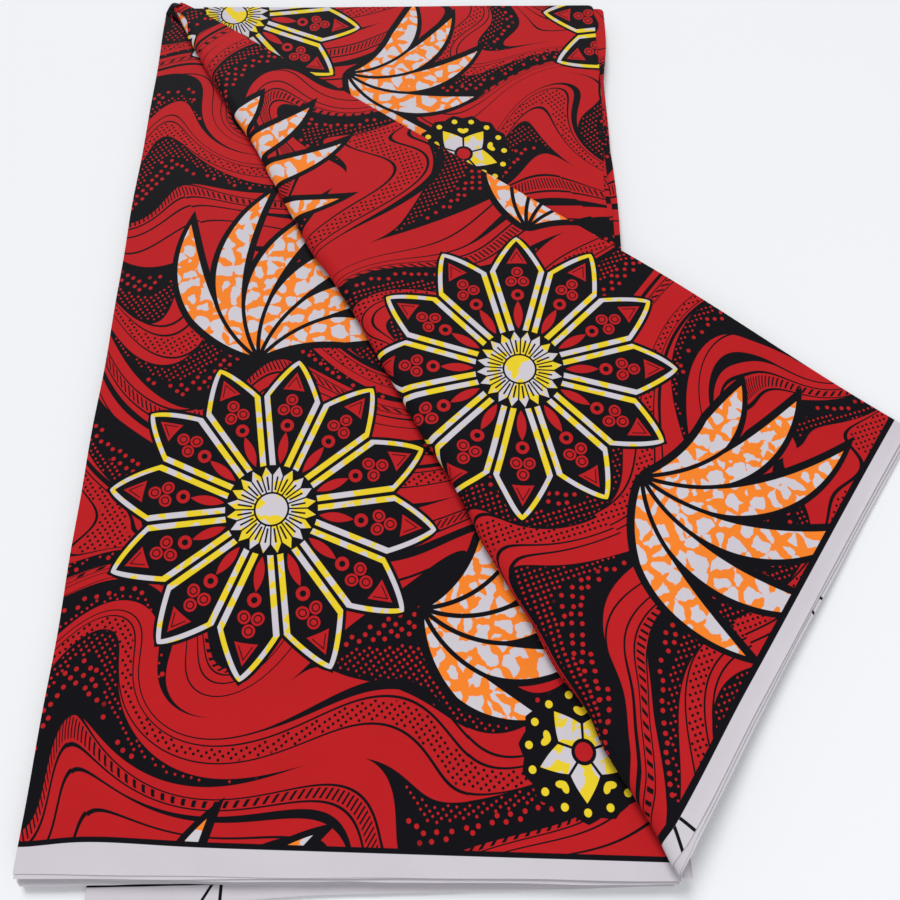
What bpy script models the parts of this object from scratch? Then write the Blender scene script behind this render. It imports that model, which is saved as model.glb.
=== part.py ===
"""Wax print fabric: printed cotton, folded in a flat pile, with half of its top panels turned over.

Six yards of cloth are doubled along the middle, then folded in panels to a long stack. X runs across the
stack, Y runs from the selvedges at its foot to the folded far end, and Z is up. The upper panels
are turned over a diagonal that runs from the far left corner to the near right one. Along that
diagonal the outer sheet makes a soft open roll, and to its right the turned flap leaves the pile
and slopes down to the ground. All sizes are in metres. The pile is modelled from its near left
corner, and its holder then sets the middle of the whole footprint at the origin.
"""

import math
from collections import namedtuple

import bmesh
import bpy
from mathutils import Vector

NAME = "wax_print_fabric"

# The pile
PILE_WIDTH = 0.329
PILE_LENGTH = 0.580
PILE_FOOT = 0.016  # where the hidden layers stop and the selvedges start
CORNER_RADIUS = 0.004
LAYER_HEIGHT = 0.0011
LAYER_SHOULDERS = (0.35, 0.70)  # between these shares of its height a layer sticks out furthest
GROOVE = 0.0009
TOP_EDGE_INSET = 0.0006  # the top hidden layer's folded edge rounds off over these two insets
TOP_FACE_INSET = 0.0024
SIDE_RIPPLE = 0.0006
GAP = 0.0003
CLOTH = 0.0010
EDGE_DROP = 0.0006
EDGE_WIDTH = 0.0025
PANEL_FAR = PILE_LENGTH - 0.0005
PANEL_FOOT = 0.0006  # where the top panel's bare edge starts on the left, and how far it skews
PANEL_FOOT_SKEW = 0.0028
FOOT_RIPPLE = 0.0004
LONG_WAVE = 0.19  # the two waves of a folded edge's unevenness
SHORT_WAVE = 0.083

# The upper panels, right of the fold
UPPER_WIDTH = 0.324
UPPER_NEAR = 0.060
UPPER_START = 0.021  # how far from the fold line the flat upper panel starts
UPPER_CORNER_REACH = 0.002  # its far right corner sticks out by this much
UPPER_CORNER_LENGTH = 0.080

# The fold line, along the left side of the roll, and the roll's height
FOLD_FAR_END = Vector((0.008, 0.572))
FOLD_FOOT = Vector((0.327, 0.002))
ROLL_RADIUS_FAR = 0.0042
ROLL_RADIUS_FOOT = 0.0056
ROLL_SPREAD_FAR = 0.045
ROLL_SPREAD_FOOT = 0.075
RETURN_LENGTH = 0.014  # how far the outer sheet runs back under the roll
RETURN_SHORTEST = 0.0005
FOLD_SWAY = 0.0009
FOLD_SWAY_START = 0.060

# The flap's free corner, in distances along the fold line and square to it
CORNER_ALONG = 0.5291
CORNER_ACROSS = 0.2630
FAR_EDGE_SLOPE = 2.12  # distance along the fold for each unit across it
RAW_EDGE_SLOPE = 0.451
FLAP_FIRST_ALONG = -0.002

# Distances from the fold at which the flap's sheets have a line of points
FLAP_STEPS = (0.009, 0.015, 0.024, 0.036, 0.052, 0.072, 0.096, 0.122, 0.146, 0.162, 0.174, 0.185)
FLAP_STEPS += (0.196, 0.208, 0.224, 0.243, 0.254, CORNER_ACROSS)
FLAP_ROWS = 23

# The flap's way down to the ground
SLOPE_START = 0.339
SLOPE_LENGTH = 0.150

# The flap's inner layers: their level above its floor, how far their folded far edge is held back
# from the outer sheet's, and how far their bare edge sticks out beyond it
INNER_THICK = 0.0012
INNER_FIRST_STEP = 1
FlapLayers = namedtuple("FlapLayers", "name level inset outset")
FLAP_LAYERS = (
    FlapLayers("flap_lower_layers", level=0.0, inset=0.0020, outset=0.0039),
    FlapLayers("flap_middle_layers", level=INNER_THICK + GAP, inset=0.0012, outset=0.0020),
)

# The small curl in the roll's far end, which tightens inwards
CURL_FIRST = -0.005
CURL_LAST = 0.028
CURL_WALL = 0.0008
CURL_ARC = (-70, 200)
CURL_TIGHTENING = 0.25

RED = (0.58, 0.020, 0.022)
BLACK = (0.010, 0.010, 0.013)
PLAIN = (0.62, 0.57, 0.62)
COTTON_ROUGHNESS = 0.62

PileLayer = namedtuple("PileLayer", "left right far")
PILE_LAYERS = (
    PileLayer(left=0.0012, right=0.0008, far=0.0020),
    PileLayer(left=0.0002, right=0.0022, far=0.0006),
    PileLayer(left=0.0018, right=0.0004, far=0.0028),
    PileLayer(left=0.0006, right=0.0016, far=0.0012),
    PileLayer(left=0.0024, right=0.0000, far=0.0022),
    PileLayer(left=0.0004, right=0.0012, far=0.0004),
    PileLayer(left=0.0010, right=0.0010, far=0.0016),
)
PILE_HEIGHT = LAYER_HEIGHT * len(PILE_LAYERS)
PANEL_TOP = PILE_HEIGHT + GAP + CLOTH
UPPER_TOP = PANEL_TOP + GAP + CLOTH
FLAP_FLOOR = UPPER_TOP + GAP
ROLL_FLOOR = PANEL_TOP + GAP

# Each selvedge stack at the foot: its height above the ground, where it starts and ends across the
# pile, how far it sticks out at its two ends and in its middle, and how thin its lip is
Selvedge = namedtuple("Selvedge", "name floor top first last out_first out_last sag lip")
SELVEDGES = (
    Selvedge("selvedge_lower", 0.0000, 0.0023, 0.034, 0.327, 0.0170, 0.0060, 0.0026, 0.0010),
    Selvedge("selvedge_middle", 0.0026, 0.0049, 0.000, 0.330, 0.0054, 0.0050, 0.0020, 0.0016),
    Selvedge("selvedge_upper", 0.0052, 0.0077, 0.001, 0.328, 0.0015, 0.0030, 0.0000, 0.0018),
)

FOLD_LENGTH = (FOLD_FOOT - FOLD_FAR_END).length
ALONG = (FOLD_FOOT - FOLD_FAR_END).normalized()
ACROSS = Vector((-ALONG.y, ALONG.x))


def smooth(value):
    """0 below 0, 1 above 1, and an S-curve between."""
    value = min(max(value, 0.0), 1.0)
    return value * value * (3.0 - 2.0 * value)


def ripple(distance, seed, size):
    """The slight unevenness of a folded edge at this distance along it."""
    long_wave = math.sin(math.tau * distance / LONG_WAVE + seed)
    short_wave = math.sin(math.tau * distance / SHORT_WAVE + 2.3 * seed)
    return size * (0.6 * long_wave + 0.4 * short_wave)


def spaced(first, last, count):
    """Evenly spaced values, both ends included."""
    return [first + (last - first) * i / (count - 1) for i in range(count)]


def material(name, color, roughness):
    made = bpy.data.materials.new(name)
    made.use_nodes = True
    shader = made.node_tree.nodes["Principled BSDF"]
    shader.inputs["Base Color"].default_value = (*color, 1.0)
    shader.inputs["Roughness"].default_value = roughness
    shader.inputs["Metallic"].default_value = 0.0
    made.diffuse_color = (*color, 1.0)
    return made


def finish(bm, name, color):
    """The mesh as an object of its own, with doubles merged."""
    bmesh.ops.remove_doubles(bm, verts=bm.verts, dist=1e-6)
    bmesh.ops.dissolve_degenerate(bm, edges=bm.edges, dist=1e-6)
    mesh = bpy.data.meshes.new(name)
    bm.to_mesh(mesh)
    bm.free()
    mesh.materials.append(material(name + "_cotton", color, COTTON_ROUGHNESS))
    mesh.shade_smooth()
    mesh.set_sharp_from_angle(angle=math.radians(35))
    made = bpy.data.objects.new(name, mesh)
    bpy.data.collections[NAME].objects.link(made)
    return made


def grid_faces(bm, rows, flip=False):
    """Triangles between neighbouring rows of points, all cut the same way so that stacked sheets match."""
    verts = [[bm.verts.new(point) for point in row] for row in rows]
    for near, far in zip(verts, verts[1:]):
        for i in range(len(near) - 1):
            halves = ((near[i], near[i + 1], far[i + 1]), (near[i], far[i + 1], far[i]))
            for corners in halves:
                bm.faces.new(reversed(corners) if flip else corners)
    return verts


def sheet(name, rows, thickness, color):
    """A cloth wall whose outer face holds these rows of points."""
    bm = bmesh.new()
    grid_faces(bm, rows)
    made = finish(bm, name, color)
    wall = made.modifiers.new("wall", "SOLIDIFY")
    wall.thickness = thickness
    wall.offset = -1.0
    wall.use_even_offset = True
    return made


def slab(name, top, bottom, color):
    """A closed stack of layers between a top face and an underside of its own."""
    bm = bmesh.new()
    upper = grid_faces(bm, top)
    lower = grid_faces(bm, bottom, flip=True)
    rims = [(upper[0], lower[0]), (lower[-1], upper[-1])]
    rims.append(([row[-1] for row in upper], [row[-1] for row in lower]))
    rims.append(([row[0] for row in lower], [row[0] for row in upper]))
    for first, second in rims:
        for i in range(len(first) - 1):
            bm.faces.new((first[i + 1], first[i], second[i], second[i + 1]))
    return finish(bm, name, color)


def pile_ring(inset, layer, height, seed):
    """One level of the pile's outline: a rectangle with round corners and slightly uneven sides."""
    left = inset + layer.left
    right = PILE_WIDTH - inset - layer.right
    near = PILE_FOOT
    far = PILE_LENGTH - inset - layer.far
    ring = []
    for x in spaced(left + CORNER_RADIUS, right - CORNER_RADIUS, 7):
        ring.append(Vector((x, near, height)))
    for y in spaced(near + CORNER_RADIUS, far - CORNER_RADIUS, 14)[1:]:
        ring.append(Vector((right + ripple(y, seed, SIDE_RIPPLE), y, height)))
    for x in spaced(right - CORNER_RADIUS, left + CORNER_RADIUS, 8):
        ring.append(Vector((x, far + ripple(x, seed + 1.0, SIDE_RIPPLE), height)))
    for y in spaced(far - CORNER_RADIUS, near + CORNER_RADIUS, 14)[:-1]:
        ring.append(Vector((left - ripple(y, seed + 2.0, SIDE_RIPPLE), y, height)))
    return ring


def base_pile():
    """The hidden layers: one solid with a groove between each two layers and a flat underside."""
    rings = []
    for number, layer in enumerate(PILE_LAYERS):
        floor = number * LAYER_HEIGHT
        seed = 1.7 * number
        top_layer = number == len(PILE_LAYERS) - 1
        shoulder = TOP_EDGE_INSET if top_layer else 0.0
        for share, inset in ((0.0, GROOVE), (LAYER_SHOULDERS[0], 0.0), (LAYER_SHOULDERS[1], shoulder)):
            rings.append(pile_ring(inset, layer, floor + share * LAYER_HEIGHT, seed))
    rings.append(pile_ring(TOP_FACE_INSET, PILE_LAYERS[-1], PILE_HEIGHT, 0.0))
    bm = bmesh.new()
    verts = [[bm.verts.new(point) for point in ring] for ring in rings]
    for low, high in zip(verts, verts[1:]):
        for i in range(len(low)):
            j = (i + 1) % len(low)
            bm.faces.new((low[i], low[j], high[j], high[i]))
    bm.faces.new(reversed(verts[0]))
    bm.faces.new(verts[-1])
    return finish(bm, "base_pile", RED)


def panel_foot(x):
    """Where the top panel's bare edge lies, a little skewed."""
    return PANEL_FOOT - PANEL_FOOT_SKEW * x / PILE_WIDTH + ripple(x, 0.4, FOOT_RIPPLE)


def edge_drop(distance):
    """How far a folded edge turns down, at this distance inside it."""
    share = max(0.0, 1.0 - distance / EDGE_WIDTH)
    return EDGE_DROP * share * share


def base_panel():
    """The printed panel on top of the pile, turned down a little at its three folded edges."""
    turn = [0.0, 0.5 * EDGE_WIDTH, EDGE_WIDTH]
    margin = 8.0 * EDGE_WIDTH
    columns = turn + spaced(margin, PILE_WIDTH - margin, 11) + [PILE_WIDTH - x for x in turn[::-1]]
    shares = spaced(0.0, 1.0 - margin / PILE_LENGTH, 15) + [1.0 - y / PILE_LENGTH for y in turn[::-1]]
    rows = []
    for share in shares:
        row = []
        for x in columns:
            near = panel_foot(x)
            y = near + (PANEL_FAR - near) * share
            side = ripple(y, 0.9, SIDE_RIPPLE) * (2.0 * x / PILE_WIDTH - 1.0)
            drop = edge_drop(min(x, PILE_WIDTH - x)) + edge_drop(PANEL_FAR - y)
            row.append(Vector((x + side, y, PANEL_TOP - min(drop, EDGE_DROP))))
        rows.append(row)
    return sheet("base_panel", rows, CLOTH, RED)


def selvedge_stack(row):
    """A few of the bare selvedges at the foot, each stack sticking out as far as it does."""
    top, bottom = [], []
    lip_share = 0.45
    for y_share in (0.0, lip_share, 0.8, 1.0):
        top_row, bottom_row = [], []
        for x in spaced(row.first, row.last, 19):
            f = (x - row.first) / (row.last - row.first)
            out = row.out_last + (row.out_first - row.out_last) * (1.0 - f) ** 1.6
            out -= row.sag * 4.0 * f * (1.0 - f) * (1.0 - f)
            out += ripple(x, row.floor * 900.0, FOOT_RIPPLE)
            y = -out + (PILE_FOOT - GAP + out) * y_share
            thin = smooth(1.0 - y_share / lip_share) * (row.top - row.floor - row.lip)
            top_row.append(Vector((x, y, row.top - thin)))
            bottom_row.append(Vector((x, y, row.floor)))
        top.append(top_row)
        bottom.append(bottom_row)
    return slab(row.name, top, bottom, PLAIN)


def upper_panel():
    """The part of the upper panels that stays flat on the pile, right of the fold."""
    rows = []
    for y in spaced(UPPER_NEAR, PANEL_FAR, 16):
        nose = FOLD_FAR_END.x + (FOLD_FAR_END.y - y) * ALONG.x / -ALONG.y
        first = nose + UPPER_START / ACROSS.x
        last = UPPER_WIDTH + ripple(y, 2.6, SIDE_RIPPLE)
        reach = UPPER_CORNER_REACH * smooth(1.0 - (PANEL_FAR - y) / UPPER_CORNER_LENGTH)
        row = []
        for share in spaced(0.0, 1.0, 11):
            x = first + (last - first) * share
            row.append(Vector((x, y + reach * share, UPPER_TOP)))
        rows.append(row)
    return sheet("upper_panel", rows, CLOTH, RED)


def on_ground(along, across):
    """The place on the ground of a point given along the fold line and square to it."""
    return FOLD_FAR_END + ALONG * along + ACROSS * across


def fold_wave(along):
    """The roll's slight sway from a straight line."""
    return ripple(along, 0.8, FOLD_SWAY) * smooth(along / FOLD_SWAY_START)


def rest_height(place):
    """What the flap lies on: the upper panel, then a slope off the pile, then the ground."""
    return FLAP_FLOOR * (1.0 - smooth((place.x - SLOPE_START) / SLOPE_LENGTH))


def far_edge(across):
    """How far along the fold the flap's folded far edge lies."""
    return max(FLAP_FIRST_ALONG, CORNER_ALONG - FAR_EDGE_SLOPE * (CORNER_ACROSS - across))


def raw_edge(across):
    """How far along the fold the outer sheet's bare edge lies."""
    return CORNER_ALONG + RAW_EDGE_SLOPE * (CORNER_ACROSS - across)


def flap_places(across):
    """Distances along the fold, from the flap's far edge to its bare one."""
    return spaced(far_edge(across), raw_edge(across), FLAP_ROWS)


def flap_layers(layers):
    """Some inner layers of the flap, with the same way down to the ground as its outer sheet."""
    beyond = layers.outset * math.hypot(1.0, RAW_EDGE_SLOPE)
    top, bottom = [], []
    for across in FLAP_STEPS[INNER_FIRST_STEP:]:
        places = flap_places(across)
        inset = min(layers.inset, (places[-1] - places[0]) / 60.0)
        places = [places[0] + inset, *places[1:], places[-1] + beyond]
        top_row, bottom_row = [], []
        for along in places:
            place = on_ground(along, across)
            floor = rest_height(place) + layers.level
            bottom_row.append(Vector((place.x, place.y, floor)))
            top_row.append(Vector((place.x, place.y, floor + INNER_THICK)))
        top.append(top_row)
        bottom.append(bottom_row)
    return slab(layers.name, top, bottom, PLAIN)


def roll_radius(along):
    share = along / FOLD_LENGTH
    return ROLL_RADIUS_FAR + (ROLL_RADIUS_FOOT - ROLL_RADIUS_FAR) * share


def outer_sheet_top(along, across):
    """The height of the flap's outer face: the roll's crown near the fold, then the flat stack."""
    place = on_ground(along, across)
    flat = rest_height(place) + 2.0 * (INNER_THICK + GAP) + CLOTH
    radius = roll_radius(along)
    crown = ROLL_FLOOR + 2.0 * radius
    share = along / FOLD_LENGTH
    spread = ROLL_SPREAD_FAR + (ROLL_SPREAD_FOOT - ROLL_SPREAD_FAR) * share
    blend = smooth((across - radius) / spread)
    return crown + (flat - crown) * blend


def flap_panel():
    """The outer sheet: back under the roll, round it, and over the flap to its two free edges."""
    rows = []
    middle_radius = roll_radius(FOLD_LENGTH / 2.0)
    foot_radius = roll_radius(FOLD_LENGTH)
    nose_foot = raw_edge(-(math.pi / 2.0 - 1.0) * foot_radius)
    for share in (1.0, 0.5):
        row = []
        for along in spaced(0.0, nose_foot + RAW_EDGE_SLOPE * foot_radius * math.pi / 2.0, FLAP_ROWS):
            radius = roll_radius(along)
            room = (PILE_WIDTH - on_ground(along, 0.0).x) / ACROSS.x - radius
            run = min(max(room, RETURN_SHORTEST), RETURN_LENGTH)
            across = radius + share * run + fold_wave(along)
            place = on_ground(along, across)
            row.append(Vector((place.x, place.y, ROLL_FLOOR)))
        rows.append(row)
    for degrees in spaced(-90, 90, 10):
        angle = math.radians(degrees)
        row = []
        last = nose_foot - RAW_EDGE_SLOPE * foot_radius * angle
        for along in spaced(FLAP_FIRST_ALONG, last, FLAP_ROWS):
            radius = roll_radius(along)
            across = radius * (1.0 - math.cos(angle)) + fold_wave(along)
            place = on_ground(along, across)
            height = ROLL_FLOOR + radius * (1.0 + math.sin(angle))
            row.append(Vector((place.x, place.y, height)))
        rows.append(row)
    for across in FLAP_STEPS:
        row = []
        for along in flap_places(across):
            shift = fold_wave(along) * (1.0 - smooth((across - middle_radius) / ROLL_SPREAD_FOOT))
            place = on_ground(along, across + shift)
            row.append(Vector((place.x, place.y, outer_sheet_top(along, across))))
        rows.append(row)
    return sheet("flap_panel", rows, CLOTH, RED)


def corner_curl():
    """The end of an inner sheet, curled up inside the roll's far end."""
    rows = []
    for along in spaced(CURL_FIRST, CURL_LAST, 7):
        share = (along - CURL_FIRST) / (CURL_LAST - CURL_FIRST)
        room = ROLL_RADIUS_FAR - CLOTH - GAP
        radius = room * (1.0 - CURL_TIGHTENING * share)
        row = []
        for degrees in spaced(*CURL_ARC, 11):
            angle = math.radians(degrees)
            across = ROLL_RADIUS_FAR - radius * math.cos(angle)
            place = on_ground(along, across)
            height = ROLL_FLOOR + ROLL_RADIUS_FAR + radius * math.sin(angle)
            row.append(Vector((place.x, place.y, height)))
        rows.append(row)
    return sheet("corner_curl", rows[::-1], CURL_WALL, BLACK)


def clear_scene():
    for old in list(bpy.data.objects):
        bpy.data.objects.remove(old)
    bpy.context.scene.collection.children.link(bpy.data.collections.new(NAME))


def set_on_origin(pieces):
    """Hangs the pieces on one empty that puts the middle of their footprint at the origin."""
    bpy.context.view_layer.update()
    graph = bpy.context.evaluated_depsgraph_get()
    corners = [Vector(corner) for piece in pieces for corner in piece.evaluated_get(graph).bound_box]
    holder = bpy.data.objects.new(NAME + "_holder", None)
    bpy.data.collections[NAME].objects.link(holder)
    for axis in (0, 1):
        values = [corner[axis] for corner in corners]
        holder.location[axis] = -(min(values) + max(values)) / 2.0
    for piece in pieces:
        piece.parent = holder


def main():
    clear_scene()
    pieces = [base_pile(), base_panel(), upper_panel(), flap_panel(), corner_curl()]
    pieces += [selvedge_stack(row) for row in SELVEDGES]
    pieces += [flap_layers(layers) for layers in FLAP_LAYERS]
    set_on_origin(pieces)


main()
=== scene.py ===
"""The looks of a folded length of wax print cotton: its print, weave, folded edges and roll.

Most pieces are thin sheets of cloth, on the form of the solid that they replace. The second and
third flap sheets lie inside the first one, and the hidden layers are one closed surface. Sizes are
in metres in the pile's own frame, whose origin is the near left corner of the pile on the surface
that it lies on. The print's sizes are in millimetres of cloth. Each piece has a UV map named Cloth,
in metres: its first value runs along the cloth, and its second one across it, from the print's edge.
"""

import math
from collections import namedtuple

import bmesh
import bpy
import numpy as np
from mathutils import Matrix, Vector


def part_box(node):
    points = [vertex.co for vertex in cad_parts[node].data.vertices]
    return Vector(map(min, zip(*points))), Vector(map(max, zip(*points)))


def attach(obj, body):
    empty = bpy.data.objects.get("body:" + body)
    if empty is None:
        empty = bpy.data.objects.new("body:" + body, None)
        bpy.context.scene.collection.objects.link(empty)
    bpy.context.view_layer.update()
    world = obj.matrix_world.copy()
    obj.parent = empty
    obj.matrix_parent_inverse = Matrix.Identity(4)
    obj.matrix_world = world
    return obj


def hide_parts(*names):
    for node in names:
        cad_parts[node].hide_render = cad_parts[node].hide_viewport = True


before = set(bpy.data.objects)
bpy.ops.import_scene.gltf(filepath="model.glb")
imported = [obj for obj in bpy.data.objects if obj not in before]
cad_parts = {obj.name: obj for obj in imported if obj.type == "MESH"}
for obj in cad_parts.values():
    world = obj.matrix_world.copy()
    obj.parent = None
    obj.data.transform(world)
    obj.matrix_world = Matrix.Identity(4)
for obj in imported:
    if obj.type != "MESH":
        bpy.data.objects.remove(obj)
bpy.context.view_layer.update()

# The pile, as its solids have it
PILE_WIDTH = 0.329
PILE_LENGTH = 0.580
PILE_FOOT = 0.016
PANEL_FAR = PILE_LENGTH - 0.0005
LAYER_HEIGHT = 0.0011
CORNER_RADIUS = 0.004
GAP = 0.0003  # between two solids that lie on each other
PANEL_THICK = 0.0010  # the height of a flat panel, which is two sheets
SHEET_GAP = 0.00002  # between a panel's two sheets
COTTON = 0.00026  # one sheet of the real cloth
PANEL_NOSE = (PANEL_THICK - SHEET_GAP) / 4.0  # the radius of a sheet's folded edge
UNDER_SHEET = 2.0 * PANEL_NOSE + SHEET_GAP  # from a panel's top down to its lower sheet's
PILE_LAYERS = 7
PILE_HEIGHT = LAYER_HEIGHT * PILE_LAYERS
PANEL_TOP = PILE_HEIGHT + GAP + PANEL_THICK
UPPER_TOP = PANEL_TOP + GAP + PANEL_THICK
FLAP_FLOOR = UPPER_TOP + GAP
ROLL_FLOOR = PANEL_TOP + GAP
UPPER_WIDTH = 0.324  # the upper panel, and how far from the foot and the fold it starts
UPPER_NEAR = 0.060
UPPER_START = 0.021

# The fold line and the roll along it
FOLD_FAR_END = np.array((0.008, 0.572))
FOLD_FOOT = np.array((0.327, 0.002))
ROLL_RADIUS_FAR = 0.0042
ROLL_RADIUS_FOOT = 0.0056
ROLL_SPREAD_FAR = 0.045  # from the roll's crown to where the flap lies flat
ROLL_SPREAD_FOOT = 0.075
RETURN_LENGTH = 0.014  # how far the cloth runs back under the roll
RETURN_SHORTEST = 0.0005
ROLL_SHOULDER = 1.75  # how many radii wide the roll's upper left quarter is
FOOT_SPREAD = 0.0012  # how far the roll spreads to the left at its foot, and from where on
FOOT_SPREAD_START = 0.632
FOOT_SPREAD_LENGTH = 0.018

# The flap's free corner and edges, in distances along the fold line and square to it
CORNER_ALONG = 0.5291
CORNER_ACROSS = 0.2630
FAR_EDGE_SLOPE = 2.12
RAW_EDGE_SLOPE = 0.451
TIP_BEND = 0.020  # the folded far edge bends in where it meets the roll
TIP_BEND_REACH = 0.018
FLAP_FIRST_ALONG = 0.0005
INNER_THICK = 0.0012
SLOPE_START = 0.339  # the flap comes down off the pile from here
SLOPE_LENGTH = 0.150

FOLD_LENGTH = float(np.linalg.norm(FOLD_FOOT - FOLD_FAR_END))
ALONG = (FOLD_FOOT - FOLD_FAR_END) / FOLD_LENGTH
ACROSS = np.array((-ALONG[1], ALONG[0]))

# The pile's near left corner in the frame of the solids
PILE_CORNER = Vector((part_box("selvedge_middle")[0].x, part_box("base_panel")[1].y - PANEL_FAR, 0.0))


def smooth(value):
    """0 below 0, 1 above 1, and an S-curve between."""
    value = np.clip(value, 0.0, 1.0)
    return value * value * (3.0 - 2.0 * value)


# The two waves of a folded edge's unevenness
LONG_WAVE = 0.19
SHORT_WAVE = 0.083
SHORT_SEED = 2.3
LONG_SHARE = 0.6


def ripple(distance, seed, size):
    """The slight unevenness of a folded edge at this distance along it."""
    long_wave = np.sin(math.tau * distance / LONG_WAVE + seed)
    short_wave = np.sin(math.tau * distance / SHORT_WAVE + SHORT_SEED * seed)
    return size * (LONG_SHARE * long_wave + (1.0 - LONG_SHARE) * short_wave)


# A soft swelling of an edge
Swelling = namedtuple("Swelling", "by middle width")


def swell(distance, row):
    """How far an edge swells out here. Where by is negative it is drawn in."""
    return row.by * np.exp(-(((distance - row.middle) / row.width) ** 2))


MERGE = 2e-6  # points closer than this are one
SHARP = math.radians(45.0)


class Shell:
    """The surfaces of one piece: their points, faces and places in the cloth."""

    def __init__(self):
        self.points = []
        self.faces = []
        self.places = []

    def add(self, points, places, wanted=None):
        """Adds rows of points. The faces look up where columns run right and rows run away."""
        rows, columns = points.shape[:2]
        start = sum(len(block) for block in self.points)
        index = np.arange(rows * columns).reshape(rows, columns)
        corners = (index[:-1, :-1], index[:-1, 1:], index[1:, 1:], index[1:, :-1])
        quads = np.stack(corners, axis=-1).reshape(-1, 4)
        if wanted is not None:
            quads = quads[wanted.reshape(-1)]
        self.points.append(points.reshape(-1, 3))
        self.faces.append(quads + start)
        self.places.append(places.reshape(-1, 2)[quads])

    def build(self, name, wall=COTTON):
        """The surfaces as one object, with its doubles merged and the cloth's thickness."""
        mesh = bpy.data.meshes.new(name)
        points = np.concatenate(self.points) + np.array(PILE_CORNER)
        faces = np.concatenate(self.faces)
        mesh.from_pydata(points.tolist(), [], faces.tolist())
        places = mesh.uv_layers.new(name="Cloth")
        places.data.foreach_set("uv", np.concatenate(self.places).astype(np.float32).ravel())
        bm = bmesh.new()
        bm.from_mesh(mesh)
        bmesh.ops.remove_doubles(bm, verts=bm.verts, dist=MERGE)
        bmesh.ops.dissolve_degenerate(bm, edges=bm.edges, dist=MERGE)
        loose = [vert for vert in bm.verts if not vert.link_faces]
        bmesh.ops.delete(bm, geom=loose, context="VERTS")
        bm.to_mesh(mesh)
        bm.free()
        made = bpy.data.objects.new(name, mesh)
        bpy.context.scene.collection.objects.link(made)
        if wall:
            add_wall(made, wall)
            apply_modifiers(made)
        return made


def add_wall(made, wall):
    """Gives a sheet the thickness of the cloth, below its upper face."""
    thickness = made.modifiers.new("wall", "SOLIDIFY")
    thickness.thickness = wall
    thickness.offset = -1.0


def apply_modifiers(made):
    """Turns what the modifiers make into the object's own plain mesh."""
    bpy.context.view_layer.update()
    graph = bpy.context.evaluated_depsgraph_get()
    made.data = bpy.data.meshes.new_from_object(made.evaluated_get(graph))
    made.modifiers.clear()
    made.data.shade_smooth()
    made.data.set_sharp_from_angle(angle=SHARP)


NOSE_STEPS = 6


def nose(radius):
    """Distances in from a folded edge at which its rounded nose needs points."""
    return radius * (1.0 - np.cos(np.linspace(0.0, math.pi / 2.0, NOSE_STEPS)))


def nose_drop(distance, radius):
    """How far a folded edge's upper face has come down, at this distance in from the edge."""
    left = np.clip(radius - distance, 0.0, radius)
    return radius - np.sqrt(radius * radius - left * left)


def round_corner(first, second, radius):
    """How far points near a folded corner move in from its two sides to make it round."""
    a = np.clip(1.0 - first / radius, 0.0, 1.0)
    b = np.clip(1.0 - second / radius, 0.0, 1.0)
    from_first = radius * a * (1.0 - np.sqrt(1.0 - b * b / 2.0))
    from_second = radius * b * (1.0 - np.sqrt(1.0 - a * a / 2.0))
    return from_first, from_second


RIM = 0.006  # how far a folded edge's underside runs back in
NEAR_RIM = 1.01 * RIM
RELIEF_FADE = 0.02  # a panel's creases grow to their full height over this distance from its edge
FAR_AWAY = 1.0  # a side that isn't folded counts as this far off, so it gets no nose


def folded_panel(shell, edges, top, radius, place, relief=None, left_folded=True,
                 columns=90, rows=130):
    """Adds a panel that is folded at its sides and its far end, with a bare edge at its foot.

    edges gives the left and right side at each y, and the near and far end at each x. place turns a
    point on its upper side into a place in the cloth.
    """
    steps = np.concatenate((nose(radius), [2.0 * radius, 0.5 * RIM, RIM]))
    inner = np.linspace(0.0, 1.0, columns)[1:-1]
    share = np.concatenate((np.zeros(len(steps)), inner, np.ones(len(steps))))
    extra = np.concatenate((steps, np.zeros(len(inner)), -steps[::-1]))
    row_inner = np.linspace(0.0, 1.0, rows)[:-1]
    row_share = np.concatenate((row_inner, np.ones(len(steps))))
    row_extra = np.concatenate((np.zeros(len(row_inner)), -steps[::-1]))
    # a first guess of y places the sides, and then x places the ends
    y = edges.near(0.0) + (PILE_LENGTH - edges.near(0.0)) * row_share + row_extra
    y = y[:, None] + np.zeros(len(share))
    left, right = edges.left(y), edges.right(y)
    inset = 2.0 * RIM
    x = left + inset + (right - left - 2.0 * inset) * share + extra
    x = np.where(share == 0.0, left + extra, np.where(share == 1.0, right + extra, x))
    near, far = edges.near(x), edges.far(x)
    length = far - near
    y = near + (length - inset) * row_share[:, None]
    y = np.where(row_share[:, None] == 1.0, far + row_extra[:, None], y)
    from_left = x - left if left_folded else np.full_like(x, FAR_AWAY)
    from_right, from_far = right - x, far - y
    distance = np.minimum(np.minimum(from_left, from_right), from_far)
    for side, way in ((from_left, 1.0), (from_right, -1.0)):
        shift_x, shift_y = round_corner(side, from_far, CORNER_RADIUS)
        x = x + way * shift_x
        y = y - shift_y
    drop = nose_drop(distance, radius)
    lift = relief(x, y) * smooth(distance / RELIEF_FADE) if relief else 0.0
    upper = np.stack((x, y, top + lift - drop), axis=-1)
    shell.add(upper, np.stack(place(x, y), axis=-1))
    lower = np.stack((x, y, top - 2.0 * radius + drop + 0.0 * x), axis=-1)
    outward_x = np.where(from_left < from_right, -2.0 * from_left, 2.0 * from_right)
    beyond_x = np.where(np.minimum(from_left, from_right) < from_far, outward_x, 0.0)
    beyond_y = np.where(from_far < np.minimum(from_left, from_right), 2.0 * from_far, 0.0)
    hidden = np.stack(place(x + beyond_x, y + beyond_y), axis=-1)
    near_edge = distance < NEAR_RIM
    wanted = near_edge[:-1, :-1] & near_edge[:-1, 1:] & near_edge[1:, 1:] & near_edge[1:, :-1]
    shell.add(lower[:, ::-1], hidden[:, ::-1], wanted[:, ::-1])


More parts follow.
